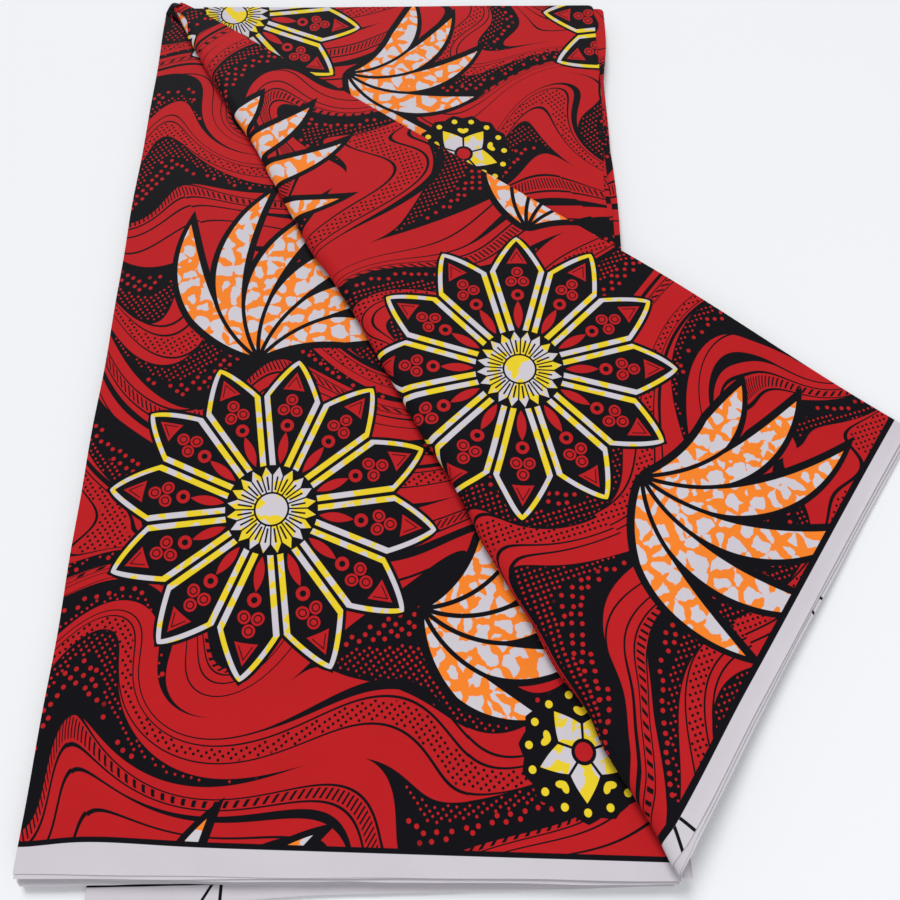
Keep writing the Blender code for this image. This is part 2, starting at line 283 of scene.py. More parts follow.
# The edges of a flat panel's sheet: how far each lies beyond its plain line, and how it ripples
Edges = namedtuple("Edges", "left right near far")
EdgeForm = namedtuple("EdgeForm", "beyond seed size")
BASE = Edges(EdgeForm(0.0, 0.9, 0.0006), EdgeForm(0.0, 0.9, 0.0006),
             EdgeForm(0.0006, 0.4, 0.0004), EdgeForm(0.0, 0.2, 0.0004))
UNDER_BASE = Edges(EdgeForm(0.0007, 4.1, 0.0007), EdgeForm(-0.0004, 5.3, 0.0008),
                   EdgeForm(-0.0015, 2.2, 0.0003), EdgeForm(-0.0009, 3.1, 0.0006))
UPPER = Edges(None, EdgeForm(0.0006, 2.6, 0.0005), None, EdgeForm(0.0, 1.2, 0.0003))
UNDER_UPPER = Edges(None, EdgeForm(-0.0008, 1.4, 0.0009), None, EdgeForm(-0.0004, 2.9, 0.0007))

# Where the panels' edges and the printed part end, and where the pile bulges or is drawn in
FOOT_SKEW = 0.0028  # how much further down the top panel's bare edge lies at its right end
BORDER_HEIGHT = 0.0172
BORDER_SLOPE = 0.0275
BORDER_SWELLINGS = (Swelling(0.0012, 0.040, 0.035), Swelling(-0.0024, 0.0, 0.020))
BULGE = 0.0030
BULGE_START = 0.515
BULGE_LENGTH = 0.045
PILE_WAIST = Swelling(-0.0022, 0.487, 0.035)
UPPER_WAIST = Swelling(-0.0035, 0.420, 0.032)
UNDER_UPPER_SWELLING = Swelling(0.0012, 0.395, 0.06)


def edge_out(form, distance):
    """How far an edge lies beyond its plain line at this distance along it."""
    return form.beyond + ripple(distance, form.seed, form.size)


def panel_foot(x):
    """Where the top panel's bare edge lies, a little skewed."""
    return edge_out(BASE.near, x) - FOOT_SKEW * x / PILE_WIDTH


def border_line(x):
    """Where the printed part of the top panel ends, above its bare selvedge."""
    x = np.clip(x, 0.0, PILE_WIDTH)
    return BORDER_HEIGHT - BORDER_SLOPE * x + sum(swell(x, row) for row in BORDER_SWELLINGS)


def pile_left(y):
    return -edge_out(BASE.left, y)


def pile_right(y):
    bulge = BULGE * smooth((y - BULGE_START) / BULGE_LENGTH)
    return PILE_WIDTH + edge_out(BASE.right, y) + bulge + swell(y, PILE_WAIST)


def upper_right(y):
    return UPPER_WIDTH + edge_out(UPPER.right, y) + swell(y, UPPER_WAIST)


def fold_line(y):
    """Where the roll's left side lies at this distance up the pile."""
    return FOLD_FAR_END[0] + (FOLD_FAR_END[1] - y) * ALONG[0] / -ALONG[1]


# Soft creases on the flat panels: their two ends, their width and their height
Crease = namedtuple("Crease", "from_x from_y to_x to_y width height")
PANEL_CREASES = (
    Crease(0.010, 0.402, 0.110, 0.388, 0.0070, 0.00035),
    Crease(0.000, 0.205, 0.150, 0.214, 0.0090, -0.00030),
    Crease(0.160, 0.214, 0.236, 0.204, 0.0060, -0.00022),
    Crease(0.060, 0.020, 0.085, 0.165, 0.0110, 0.00030),
    Crease(0.215, 0.015, 0.205, 0.120, 0.0080, -0.00028),
    Crease(0.020, 0.520, 0.034, 0.460, 0.0060, 0.00030),
    Crease(0.150, 0.560, 0.170, 0.430, 0.0090, -0.00030),
    Crease(0.230, 0.575, 0.262, 0.470, 0.0075, 0.00035),
    Crease(0.300, 0.540, 0.285, 0.395, 0.0060, 0.00025),
)
CREASE_WANDER = 0.12  # how far a crease strays to its sides, in its widths
CREASE_WAVE = 0.017
CREASE_FADE = 0.3  # the share of its length over which each end fades out


def crease_height(creases, x, y):
    """The sum of some soft creases, each of them fading out at its two ends."""
    total = np.zeros_like(x)
    for crease in creases:
        way = np.array((crease.to_x - crease.from_x, crease.to_y - crease.from_y))
        length = float(np.linalg.norm(way))
        way = way / length
        run = (x - crease.from_x) * way[0] + (y - crease.from_y) * way[1]
        off = (x - crease.from_x) * -way[1] + (y - crease.from_y) * way[0]
        off = off + CREASE_WANDER * crease.width * np.sin(run / CREASE_WAVE)
        fade = CREASE_FADE * length
        ends = smooth(run / fade) * smooth((length - run) / fade)
        total = total + crease.height * ends * np.exp(-((off / crease.width) ** 2))
    return total


# The broad unevenness of what a panel lies on: its height, its waves across and along the panel,
# and how far the waves across bend, over what length
Unevenness = namedtuple("Unevenness", "height across bend bend_length along phase")
PANEL_UNEVENNESS = Unevenness(0.00016, 0.031, 1.2, 0.058, 0.043, 0.7)
FLAP_UNEVENNESS = Unevenness(0.00022, 0.037, 1.1, 0.052, 0.047, 0.4)


def relief(creases, broad, x, y):
    """A panel's creases, and the broad unevenness of what lies under it."""
    bent = x / broad.across + broad.bend * np.sin(y / broad.bend_length)
    wave = broad.height * np.sin(bent) * np.sin(y / broad.along + broad.phase)
    return crease_height(creases, x, y) + wave


def panel_relief(x, y):
    return relief(PANEL_CREASES, PANEL_UNEVENNESS, x, y)


# Which part of the print the lower sheet of each panel shows
UNDER_BASE_PRINT = (0.143, -0.0105)
UNDER_UPPER_PRINT = (0.031, -0.011)
UNDER_START = 0.004  # how much further right the lower sheet of the upper panel starts
FAR_CORNER_REACH = 0.002  # how far the upper panel's far right corner sticks out
FAR_CORNER_START = 0.1


def base_panel():
    """The top panel of the pile, its fellow under it, and their folded edges."""
    shell = Shell()
    upper = Edges(pile_left, pile_right, panel_foot, lambda x: PANEL_FAR + edge_out(BASE.far, x))
    folded_panel(shell, upper, PANEL_TOP, PANEL_NOSE,
                 lambda x, y: (x, y - border_line(x)), panel_relief)
    lower = Edges(
        lambda y: pile_left(y) + edge_out(UNDER_BASE.left, y),
        lambda y: pile_right(y) + edge_out(UNDER_BASE.right, y),
        lambda x: edge_out(UNDER_BASE.near, x),
        lambda x: PANEL_FAR + edge_out(UNDER_BASE.far, x),
    )
    across, up = UNDER_BASE_PRINT
    folded_panel(shell, lower, PANEL_TOP - UNDER_SHEET, PANEL_NOSE,
                 lambda x, y: (x + across, y + up))
    return shell.build("printed_base_panel")


def upper_panel():
    """The part of the upper panels that stays flat, right of the fold, as two folded sheets."""
    shell = Shell()

    def left(y):
        return fold_line(y) + UPPER_START / ACROSS[0]

    def near(x):
        return UPPER_NEAR + 0.0 * x

    def far(x):
        corner = smooth((x - FAR_CORNER_START) / (UPPER_WIDTH - FAR_CORNER_START))
        return PANEL_FAR + FAR_CORNER_REACH * corner + edge_out(UPPER.far, x)

    def place(x, y):
        return x + UPPER_SHIFT, y - border_line(x)

    folded_panel(shell, Edges(left, upper_right, near, far), UPPER_TOP, PANEL_NOSE, place,
                 panel_relief, left_folded=False, columns=70)
    lower = Edges(
        lambda y: left(y) + UNDER_START,
        lambda y: UPPER_WIDTH + edge_out(UNDER_UPPER.right, y) + swell(y, UNDER_UPPER_SWELLING),
        near,
        lambda x: PANEL_FAR + edge_out(UNDER_UPPER.far, x),
    )
    across, up = UNDER_UPPER_PRINT
    folded_panel(shell, lower, UPPER_TOP - UNDER_SHEET, PANEL_NOSE,
                 lambda x, y: (x + across, y + up), left_folded=False, columns=50)
    return shell.build("printed_upper_panel")


# The hidden layers' sides: how far each layer is in from them, how much they ripple and from what
# seed, where their print starts, and its step from layer to layer
HiddenSide = namedtuple("HiddenSide", "insets ripple seed print_start print_step")
HIDDEN_LEFT = HiddenSide((0.0012, 0.0002, 0.0018, 0.0006, 0.0024, 0.0004, 0.0010),
                         0.0007, 2.0, 0.083, 0.171)
HIDDEN_RIGHT = HiddenSide((0.0008, 0.0022, 0.0004, 0.0016, 0.0, 0.0012, 0.0010),
                          0.0008, 0.0, 0.0, 0.137)
HIDDEN_FAR = HiddenSide((0.0020, 0.0006, 0.0028, 0.0012, 0.0022, 0.0004, 0.0016),
                        0.0006, 1.0, 0.0, 0.061)

# The rings of points that make the hidden layers, and the print that shows on them
LAYER_SEED = 1.7
SIDE_POINTS = 120
END_POINTS = 66
LEVELS = 10  # levels of points in each hidden layer
GROOVE = 0.0009
UPPER_HALF_BACK = 0.0006  # how much further in a layer's upper half is at the far end
WOBBLE = 0.00012  # how unevenly the layers lie
WOBBLE_ACROSS = 0.027
WOBBLE_ALONG = 0.041
SIDE_TURN = 0.0014  # the print that shows from the bottom of a layer's edge to its top
FAR_TURN = 0.0009
FAR_PRINT = 0.566  # how far in the cloth the far end's fold lies
SIDE_PRINT = 0.011  # where the print starts at the sides


def groove(share):
    """How far a layer's round edge is in, at this share of its height."""
    return GROOVE * (1.0 - math.sqrt(1.0 - (2.0 * share - 1.0) ** 2))


def hidden_layers():
    """The pile's hidden layers: doubled folds at its sides, single ones at its far end."""
    side = np.linspace(PILE_FOOT, PILE_LENGTH, SIDE_POINTS)
    end = np.linspace(0.0, PILE_WIDTH, END_POINTS)
    # once round: up the right side, back along the far end, down the left side, along the foot
    right, left = np.full(SIDE_POINTS, PILE_WIDTH), np.zeros(SIDE_POINTS - 1)
    far, foot = np.full(END_POINTS - 1, PILE_LENGTH), np.full(END_POINTS - 2, PILE_FOOT)
    x = np.concatenate((right, end[::-1][1:], left, end[1:-1]))
    y = np.concatenate((side, far, side[::-1][1:], foot))
    is_right = (x == PILE_WIDTH) & (y > PILE_FOOT)
    is_far = y == PILE_LENGTH
    is_left = (x == 0.0) & (y > PILE_FOOT)

    def inset(row, number, distance, more_seed=0.0):
        seed = LAYER_SEED * number + row.seed + more_seed
        return row.insets[number] - ripple(distance, seed, row.ripple)

    rings, cloth = [], []
    for number in range(PILE_LAYERS):
        for level in range(LEVELS):
            share = level / LEVELS
            right_in = inset(HIDDEN_RIGHT, number, y) + groove(share)
            left_in = inset(HIDDEN_LEFT, number, y) + groove(share)
            far_in = inset(HIDDEN_FAR, number, x, 2.0 * share)
            far_in = far_in + 0.5 * groove((2.0 * share) % 1.0)
            far_in = far_in + (UPPER_HALF_BACK if share >= 0.5 else 0.0)
            px = np.where(is_right, x - right_in, np.where(is_left, x + left_in, x))
            py = np.where(is_far, y - far_in, y)
            corner_x = np.where(is_far, np.clip(x, left_in, PILE_WIDTH - right_in), px)
            corner_y = np.where(is_right | is_left, np.minimum(y, PILE_LENGTH - far_in), py)
            for way, gap in ((-1.0, PILE_WIDTH - right_in - corner_x), (1.0, corner_x - left_in)):
                from_far = PILE_LENGTH - far_in - corner_y
                move_x, move_y = round_corner(np.maximum(gap, 0.0), from_far, CORNER_RADIUS)
                corner_x = corner_x + way * move_x
                corner_y = corner_y - move_y
            seed = LAYER_SEED * number
            wobble = WOBBLE * np.sin(x / WOBBLE_ACROSS + seed)
            wobble = wobble * np.sin(y / WOBBLE_ALONG + 2.0 * seed) * min(1.0, number)
            height = (number + share) * LAYER_HEIGHT + wobble
            rings.append(np.stack((corner_x, corner_y, height), axis=-1))
            starts = [row.print_start + row.print_step * number
                      for row in (HIDDEN_FAR, HIDDEN_LEFT, HIDDEN_RIGHT)]
            print_side = np.where(is_left, starts[1], starts[2]) + SIDE_TURN * share
            print_along = np.where(is_far & ~is_left, x + starts[0], print_side)
            in_cloth = np.where(is_far, FAR_PRINT + FAR_TURN * share, y - SIDE_PRINT)
            cloth.append(np.stack((print_along, in_cloth), axis=-1))
    lid = rings[-1].copy()
    lid[:, 2] = PILE_HEIGHT
    rings.append(lid)
    cloth.append(cloth[-1])
    rings, cloth = np.array(rings), np.array(cloth)
    rings = np.concatenate((rings, rings[:, :1]), axis=1)
    cloth = np.concatenate((cloth, cloth[:, :1]), axis=1)
    shell = Shell()
    shell.add(rings, cloth)
    made = shell.build("hidden_layers", wall=None)
    close_ends(made)
    return made


def close_ends(made):
    """Closes a tube's two open ends with flat caps that have places in the cloth too."""
    bm = bmesh.new()
    bm.from_mesh(made.data)
    rim = [side for side in bm.edges if side.is_boundary]
    caps = bmesh.ops.holes_fill(bm, edges=rim)["faces"]
    places = bm.loops.layers.uv["Cloth"]
    for face in bmesh.ops.triangulate(bm, faces=caps)["faces"]:
        for loop in face.loops:
            spot = loop.vert.co - PILE_CORNER
            loop[places].uv = (spot.x, spot.y)
    bmesh.ops.recalc_face_normals(bm, faces=bm.faces)
    bm.to_mesh(made.data)
    bm.free()
    made.data.shade_smooth()
    made.data.set_sharp_from_angle(angle=SHARP)


def socket_of(tree, name):
    """The identifier of a tree's named input, by which a modifier sets it."""
    return next(item.identifier for item in tree.interface.items_tree if item.name == name)


# The stack's named inputs: their kinds and first values
STACK_INPUTS = (
    ("Sheets", "NodeSocketInt", 6),
    ("Pitch", "NodeSocketFloat", 0.0004),
    ("Held back", "NodeSocketFloat", 0.0003),
    ("Unevenness", "NodeSocketFloat", 0.0003),
    ("Wave length", "NodeSocketFloat", 0.05),
    ("Print shift", "NodeSocketFloat", 0.0),
    ("Seed", "NodeSocketInt", 1),
    ("Finish", "NodeSocketMaterial", None),
)
SHEET_NOISE_STEP = 7.3  # between the noise of one sheet's edge and the next one's


def stack_tree():
    """Repeats one sheet of cloth downwards, each copy with an uneven edge and a place in the cloth.

    The sheet's points carry the attribute outward, which points out of its bare edge.
    """
    tree = bpy.data.node_groups.new("stacked_sheets", "GeometryNodeTree")
    tree.interface.new_socket(name="Sheet", in_out="INPUT", socket_type="NodeSocketGeometry")
    tree.interface.new_socket(name="Stack", in_out="OUTPUT", socket_type="NodeSocketGeometry")
    for name, kind, value in STACK_INPUTS:
        socket = tree.interface.new_socket(name=name, in_out="INPUT", socket_type=kind)
        if value is not None:
            socket.default_value = value
    start, end = new_node(tree, "NodeGroupInput"), new_node(tree, "NodeGroupOutput")

    def read(name, data_type):
        node = new_node(tree, "GeometryNodeInputNamedAttribute", data_type=data_type)
        node.inputs["Name"].default_value = name
        return node.outputs["Attribute"]

    def join(x=0.0, y=0.0, z=0.0):
        node = new_node(tree, "ShaderNodeCombineXYZ")
        for socket, value in zip(node.inputs, (x, y, z)):
            feed(tree, socket, value)
        return node.outputs[0]

    def of_vectors(operation, *values):
        node = new_node(tree, "ShaderNodeVectorMath", operation=operation)
        for socket, value in zip(node.inputs, values):
            feed(tree, socket, value)
        return node.outputs[0]

    given = {name: Amount(start.outputs[name]) for name, kind, _ in STACK_INPUTS
             if kind != "NodeSocketMaterial"}
    levels = new_node(tree, "GeometryNodeMeshLine", mode="OFFSET")
    feed(tree, levels.inputs["Count"], given["Sheets"])
    feed(tree, levels.inputs["Offset"], join(z=given["Pitch"] * -1.0))
    copies = new_node(tree, "GeometryNodeInstanceOnPoints")
    feed(tree, copies.inputs["Points"], levels.outputs["Mesh"])
    feed(tree, copies.inputs["Instance"], start.outputs["Sheet"])
    numbered = new_node(tree, "GeometryNodeStoreNamedAttribute",
                        data_type="FLOAT", domain="INSTANCE")
    numbered.inputs["Name"].default_value = "number"
    feed(tree, numbered.inputs["Geometry"], copies.outputs["Instances"])
    feed(tree, numbered.inputs["Value"], new_node(tree, "GeometryNodeInputIndex").outputs[0])
    real = new_node(tree, "GeometryNodeRealizeInstances")
    feed(tree, real.inputs["Geometry"], numbered.outputs["Geometry"])

    number = Amount(read("number", "FLOAT"))
    noise = new_node(tree, "ShaderNodeTexNoise", noise_dimensions="4D")
    place = new_node(tree, "GeometryNodeInputPosition").outputs[0]
    wave = new_node(tree, "ShaderNodeVectorMath", operation="SCALE")
    feed(tree, wave.inputs[0], of_vectors("MULTIPLY", place, (1.0, 1.0, 0.0)))
    feed(tree, wave.inputs["Scale"], calculate("DIVIDE", 1.0, given["Wave length"]))
    feed(tree, noise.inputs["Vector"], wave.outputs[0])
    feed(tree, noise.inputs["W"], number * SHEET_NOISE_STEP + given["Seed"])
    noise.inputs["Scale"].default_value = 1.0
    noise.inputs["Detail"].default_value = 2.0
    wander = (Amount(noise.outputs["Fac"]) * 2.0 - 1.0) * given["Unevenness"]
    reach = new_node(tree, "ShaderNodeVectorMath", operation="SCALE")
    feed(tree, reach.inputs[0], read("outward", "FLOAT_VECTOR"))
    feed(tree, reach.inputs["Scale"], wander - number * given["Held back"])
    moved = new_node(tree, "GeometryNodeSetPosition")
    feed(tree, moved.inputs["Geometry"], real.outputs["Geometry"])
    feed(tree, moved.inputs["Offset"], reach.outputs[0])

    printed = new_node(tree, "GeometryNodeStoreNamedAttribute", data_type="FLOAT2", domain="CORNER")
    printed.inputs["Name"].default_value = "Cloth"
    feed(tree, printed.inputs["Geometry"], moved.outputs["Geometry"])
    shift = join(x=number * given["Print shift"])
    shifted = of_vectors("ADD", read("Cloth", "FLOAT_VECTOR"), shift)
    feed(tree, printed.inputs["Value"], shifted)
    geometry = printed.outputs["Geometry"]
    for name in ("number", "outward"):
        forget = new_node(tree, "GeometryNodeRemoveAttribute")
        forget.inputs["Name"].default_value = name
        feed(tree, forget.inputs["Geometry"], geometry)
        geometry = forget.outputs["Geometry"]
    finish = new_node(tree, "GeometryNodeSetMaterial")
    feed(tree, finish.inputs["Geometry"], geometry)
    feed(tree, finish.inputs["Material"], start.outputs["Finish"])
    feed(tree, end.inputs["Stack"], finish.outputs["Geometry"])
    return tree


def stack(made, tree, outward, values):
    """Makes one sheet a stack. outward gives the way out of its bare edge at each point."""
    points = np.empty(3 * len(made.data.vertices), np.float32)
    made.data.vertices.foreach_get("co", points)
    points = points.reshape(-1, 3) - np.array(PILE_CORNER)
    ways = made.data.attributes.new("outward", "FLOAT_VECTOR", "POINT")
    ways.data.foreach_set("vector", outward(points[:, 0], points[:, 1]).astype(np.float32).ravel())
    repeat = made.modifiers.new("stack", "NODES")
    repeat.node_group = tree
    for name, value in values.items():
        repeat[socket_of(tree, name)] = value
    add_wall(made, COTTON)
    apply_modifiers(made)
    return made


# Each stack of bare selvedges at the foot: its solid's floor and top, where it starts and ends
# across the pile, how far it sticks out at its two ends and draws in between them, where its print
# starts and how much further in it starts to the right, which part of the print it shows, how round
# its near left corner is, and the seeds of its ripple and of its sheets' edges
Selvedge = namedtuple("Selvedge", "name floor top first last out_first out_last sag "
                                  "print rise shift corner wave seed")
SELVEDGES = (
    Selvedge("selvedge_lower", 0.0000, 0.0023, 0.034, 0.328, 0.0175, 0.0064, 0.0022,
             -0.0038, 0.0030, 0.5112, 0.0010, 0.0, 1),
    Selvedge("selvedge_middle", 0.0026, 0.0049, 0.000, 0.330, 0.0056, 0.0045, 0.0008,
             0.0054, 0.0, 0.090, 0.0022, 2.34, 27),
    Selvedge("selvedge_upper", 0.0052, 0.0077, 0.001, 0.329, 0.0015, 0.0039, 0.0000,
             0.0090, 0.0, 0.030, 0.0010, 4.68, 53),
)
SELVEDGE_COLUMNS = 170
SELVEDGE_ROWS = np.array((0.0, 0.08, 0.2, 0.35, 0.5, 0.75, 1.0))[:, None]
SELVEDGE_CLEAR = 0.0005  # how far the sheets stop short of their solid's right end
FOOT_CLEAR = 0.0002  # and of the hidden layers
SELVEDGE_TAPER = 1.6
SELVEDGE_RIPPLE = 0.0004
LIP_DROP = 0.00025  # how far the bare edge comes down, in waves
LIP_WAVE = 0.021
LIP_SHARE = 0.5
PRINT_RISE_LENGTH = 0.16
SELVEDGE_FREE = 0.012  # the edges of the sheets below stray from here out
STACK_SHEETS = 6
SELVEDGE_STACK = {"Held back": 0.00022, "Unevenness": 0.0006, "Wave length": 0.045,
                  "Print shift": 0.33}


def selvedge_stack(row, tree, finish):
    """A few bare selvedges: the top one is made here, and the tree repeats it downwards."""
    shell = Shell()
    x = np.linspace(row.first, row.last - SELVEDGE_CLEAR, SELVEDGE_COLUMNS)
    share = (x - row.first) / (row.last - row.first)
    out = row.out_last + (row.out_first - row.out_last) * (1.0 - share) ** SELVEDGE_TAPER
    out = out - row.sag * 4.0 * share * (1.0 - share) ** 2 + ripple(x, row.wave, SELVEDGE_RIPPLE)
    corner = np.clip(1.0 - (x - row.first) / row.corner, 0.0, 1.0)
    out = out - row.corner * (1.0 - np.sqrt(1.0 - corner * corner))
    y = -out + (PILE_FOOT - FOOT_CLEAR + out) * SELVEDGE_ROWS
    lip = LIP_DROP * (0.5 + 0.5 * np.sin(x / LIP_WAVE))
    z = row.top - lip * (1.0 - smooth(SELVEDGE_ROWS / LIP_SHARE))
    x = x + 0.0 * y
    print_start = row.print + row.rise * smooth((x - row.first) / PRINT_RISE_LENGTH)
    shell.add(np.stack((x, y, z), axis=-1), np.stack((x + row.shift, y - print_start), axis=-1))
    made = shell.build(row.name + "_sheets", wall=None)

    def outward(x, y):
        return np.stack((0.0 * x, -smooth((PILE_FOOT - y) / SELVEDGE_FREE), 0.0 * x), axis=-1)

    pitch = (row.top - row.floor - COTTON - LIP_DROP) / (STACK_SHEETS - 1)
    own = {"Sheets": STACK_SHEETS, "Pitch": pitch, "Seed": row.seed, "Finish": finish}
    return stack(made, tree, outward, SELVEDGE_STACK | own)


def on_ground(along, across):
    """The place on the ground of a point given along the fold line and square to it."""
    x = FOLD_FAR_END[0] + ALONG[0] * along + ACROSS[0] * across
    y = FOLD_FAR_END[1] + ALONG[1] * along + ACROSS[1] * across
    return x, y


# How far the roll lies to the right of its straight line, in millimetres, at distances along it
RollBend = namedtuple("RollBend", "along right")
ROLL_BENDS = (
    RollBend(0, -0.5), RollBend(30, -1.8), RollBend(82, -2.3), RollBend(112, -1.9),
    RollBend(148, 0.0), RollBend(178, -1.1), RollBend(204, -1.8), RollBend(240, -2.9),
    RollBend(273, 0.0), RollBend(302, 0.8), RollBend(345, 0.0), RollBend(394, -0.7),
    RollBend(421, 0.7), RollBend(443, 0.0), RollBend(468, -2.0), RollBend(495, -1.6),
    RollBend(517, -0.8), RollBend(541, -2.0), RollBend(569, 1.2), RollBend(590, -1.2),
    RollBend(622, 0.0), RollBend(680, 0.0),
)
BEND_AT = np.array([bend.along for bend in ROLL_BENDS]) / 1000.0
BEND_BY = np.array([bend.right for bend in ROLL_BENDS]) / 1000.0


def fold_wave(along):
    """The roll's soft bends, and how it spreads to the left at its very foot."""
    row = np.clip(np.searchsorted(BEND_AT, along) - 1, 0, len(BEND_AT) - 2)
    share = smooth((along - BEND_AT[row]) / (BEND_AT[row + 1] - BEND_AT[row]))
    bend = BEND_BY[row] + (BEND_BY[row + 1] - BEND_BY[row]) * share
    return bend - FOOT_SPREAD * smooth((along - FOOT_SPREAD_START) / FOOT_SPREAD_LENGTH)


def rest_height(x):
    """What the flap lies on: the upper panel, then a slope off the pile, then the ground."""
    return FLAP_FLOOR * (1.0 - smooth((x - SLOPE_START) / SLOPE_LENGTH))


def far_edge(across):
    """How far along the fold the flap's folded far edge lies."""
    line = CORNER_ALONG - FAR_EDGE_SLOPE * (CORNER_ACROSS - across)
    return np.maximum(FLAP_FIRST_ALONG, line + TIP_BEND * np.exp(-across / TIP_BEND_REACH))


def raw_edge(across):
    """How far along the fold the outer sheet's bare edge lies."""
    return CORNER_ALONG + RAW_EDGE_SLOPE * (CORNER_ACROSS - across)


def roll_radius(along):
    return ROLL_RADIUS_FAR + (ROLL_RADIUS_FOOT - ROLL_RADIUS_FAR) * along / FOLD_LENGTH


def roll_shoulder(along):
    """How far from its left side the roll is at its highest."""
    return roll_radius(along) * ROLL_SHOULDER


def unrolled(along, angle):
    """How far across the flat cloth a point lies that is at this angle round the roll."""
    wide, radius = roll_shoulder(along), roll_radius(along)
    quarter = math.pi / 2.0 * np.sqrt((wide * wide + radius * radius) / 2.0)
    over = wide - quarter * (1.0 - angle / (math.pi / 2.0))
    under = wide - quarter + radius * angle
    return np.where(angle > 0.0, over, under)


FLAP_BORDER = 0.0116  # from the flap's bare edge to where its print starts
FLAP_SHIFT = 0.222  # these two set which part of the print shows on which panel
UPPER_SHIFT = 0.060
PRINT_WIDTH = 1.138  # printed cloth between the two selvedges
RAW_SLANT = math.hypot(1.0, RAW_EDGE_SLOPE)
FAR_SLANT = math.hypot(1.0, FAR_EDGE_SLOPE)


def flap_place(along, across, step_out=0.0):
    """Where in the cloth a point of the flap is, from its distances to the two free edges."""
    from_far = (along - CORNER_ALONG + FAR_EDGE_SLOPE * (CORNER_ACROSS - across)) / FAR_SLANT
    from_raw = (CORNER_ALONG - along + RAW_EDGE_SLOPE * (CORNER_ACROSS - across)) / RAW_SLANT
    return FLAP_SHIFT - from_far, PRINT_WIDTH - (from_raw + step_out - FLAP_BORDER)


FLAP_CREASES = (
    Crease(0.340, 0.345, 0.352, 0.085, 0.0120, 0.00070),
    Crease(0.372, 0.300, 0.384, 0.120, 0.0100, -0.00060),
    Crease(0.210, 0.240, 0.330, 0.170, 0.0090, 0.00040),
    Crease(0.130, 0.370, 0.215, 0.300, 0.0080, -0.00040),
    Crease(0.262, 0.150, 0.330, 0.075, 0.0070, -0.00045),
    Crease(0.410, 0.255, 0.470, 0.232, 0.0070, 0.00040),
)


RELIEF_START = 0.02  # the flap's creases start here, beside the roll
RELIEF_LENGTH = 0.04
INNER_PITCH = INNER_THICK + GAP


def flap_relief(x, y, across):
    creases = relief(FLAP_CREASES, FLAP_UNEVENNESS, x, y)
    return creases * smooth((across - RELIEF_START) / RELIEF_LENGTH)


def outer_sheet_top(along, across):
    """The height of the flap's outer face: the roll's crown near the fold, then the flat stack."""
    x, y = on_ground(along, across)
    flat = rest_height(x) + 2.0 * INNER_PITCH + PANEL_THICK + flap_relief(x, y, across)
    crown = ROLL_FLOOR + 2.0 * roll_radius(along)
    share = along / FOLD_LENGTH
    spread = ROLL_SPREAD_FAR + (ROLL_SPREAD_FOOT - ROLL_SPREAD_FAR) * share
    return crown + (flat - crown) * smooth((across - roll_shoulder(along)) / spread)


# The sheets that wrap the roll: how deep each lies under the outer one, how much deeper its bare
# edge sags, how far that edge sticks out beyond the outer one's on the flap and at the roll's foot,
# how far its far end is held back at the roll and on the flap, which part of the print it shows,
# and its ripple's seed
RolledSheet = namedtuple("RolledSheet",
                         "name depth dip out foot_out roll_back flap_back shift seed")
ROLLED_SHEETS = (
    RolledSheet("printed_flap_panel", 0.0, 0.0, 0.0, 0.0, 0.0, 0.0, 0.0, 0.0),
    RolledSheet("second_flap_sheet", 0.0006, 0.0007, 0.0019, 0.0044, 0.036, 0.0030, 0.20, 0.54),
    RolledSheet("third_flap_sheet", 0.0011, 0.0013, 0.0038, 0.0050, 0.042, 0.0040, 0.5166, 0.99),
)
OUT_RIPPLE = 0.0005
FOOT_OUT_START = 0.020  # from here to the roll, the second and third sheets stick out more and more
FOOT_OUT_LENGTH = 0.024
MOUTH_RIGHT = 0.3355  # the right side of what shows in the roll's open foot

# The bare edges sag away from the sheet above, and curl up at their very end
DIP_LENGTH = 0.016
DIP_START = 0.012
DIP_GROWTH = 0.02
EDGE_CURL = 0.0004
EDGE_CURL_LENGTH = 0.0035

# The points of each row: where it starts along the fold, and where it is folded or open there
FLAP_NOSE = 0.0006
FAR_STEPS = np.concatenate((nose(FLAP_NOSE), [2.0 * FLAP_NOSE, 0.004]))
UNDER_STEPS = np.concatenate(([0.007, 0.003], nose(FLAP_NOSE)[::-1][:-1]))
OPEN_FAR_STEPS = np.linspace(0.0005, 0.0015, len(FAR_STEPS))
OPEN_UNDER_STEPS = np.linspace(0.0, 0.0004, len(UNDER_STEPS))
CLOSE_STEPS = np.linspace(0.0, 0.0015, len(FAR_STEPS) + len(UNDER_STEPS))
LAST_GAP = 0.0002
FOLD_START = 0.006  # the far edge is open at the roll, and folded from here on
FOLD_GROWTH = 0.02
BACK_REACH = 0.05  # up to here the inner sheets' far ends are held back for the roll's slit
DENSE_SHARE = 0.06  # the points lie close together in this share of a row
DENSE_COLUMNS = 30
FLAP_COLUMNS = 205
UNDER_COLUMNS = 110

# The rows: under the roll, round its lower and upper half, and over the flap
UNDERSIDE = -math.pi / 2.0  # the roll's lowest line, as an angle
RETURN_PARTS = (1.0, 0.94, 0.75, 0.5, 0.25)
LOWER_PARTS = np.linspace(0.0, 1.0, 12)
UPPER_PARTS = np.linspace(0.0, 1.0, 18)
FLAP_NEAR_ROWS = np.linspace(0.0103, 0.030, 12)
FLAP_ROWS = 96
UNDER_ROWS = 70
WAVE_FADE_START = 0.005

# How the end of the return curls up in the roll's open foot
MOUTH_CURL = 0.0007
CURL_PART = 0.75
CURL_START = 0.60
CURL_LENGTH = 0.03

# The roll's slit at its far end, in distances along the fold, and how far it opens, in degrees
SLIT_START = 0.0020
SLIT_LENGTH = 0.0305
SLIT_OPEN = 70.0
SLIT_ROUND = 0.75


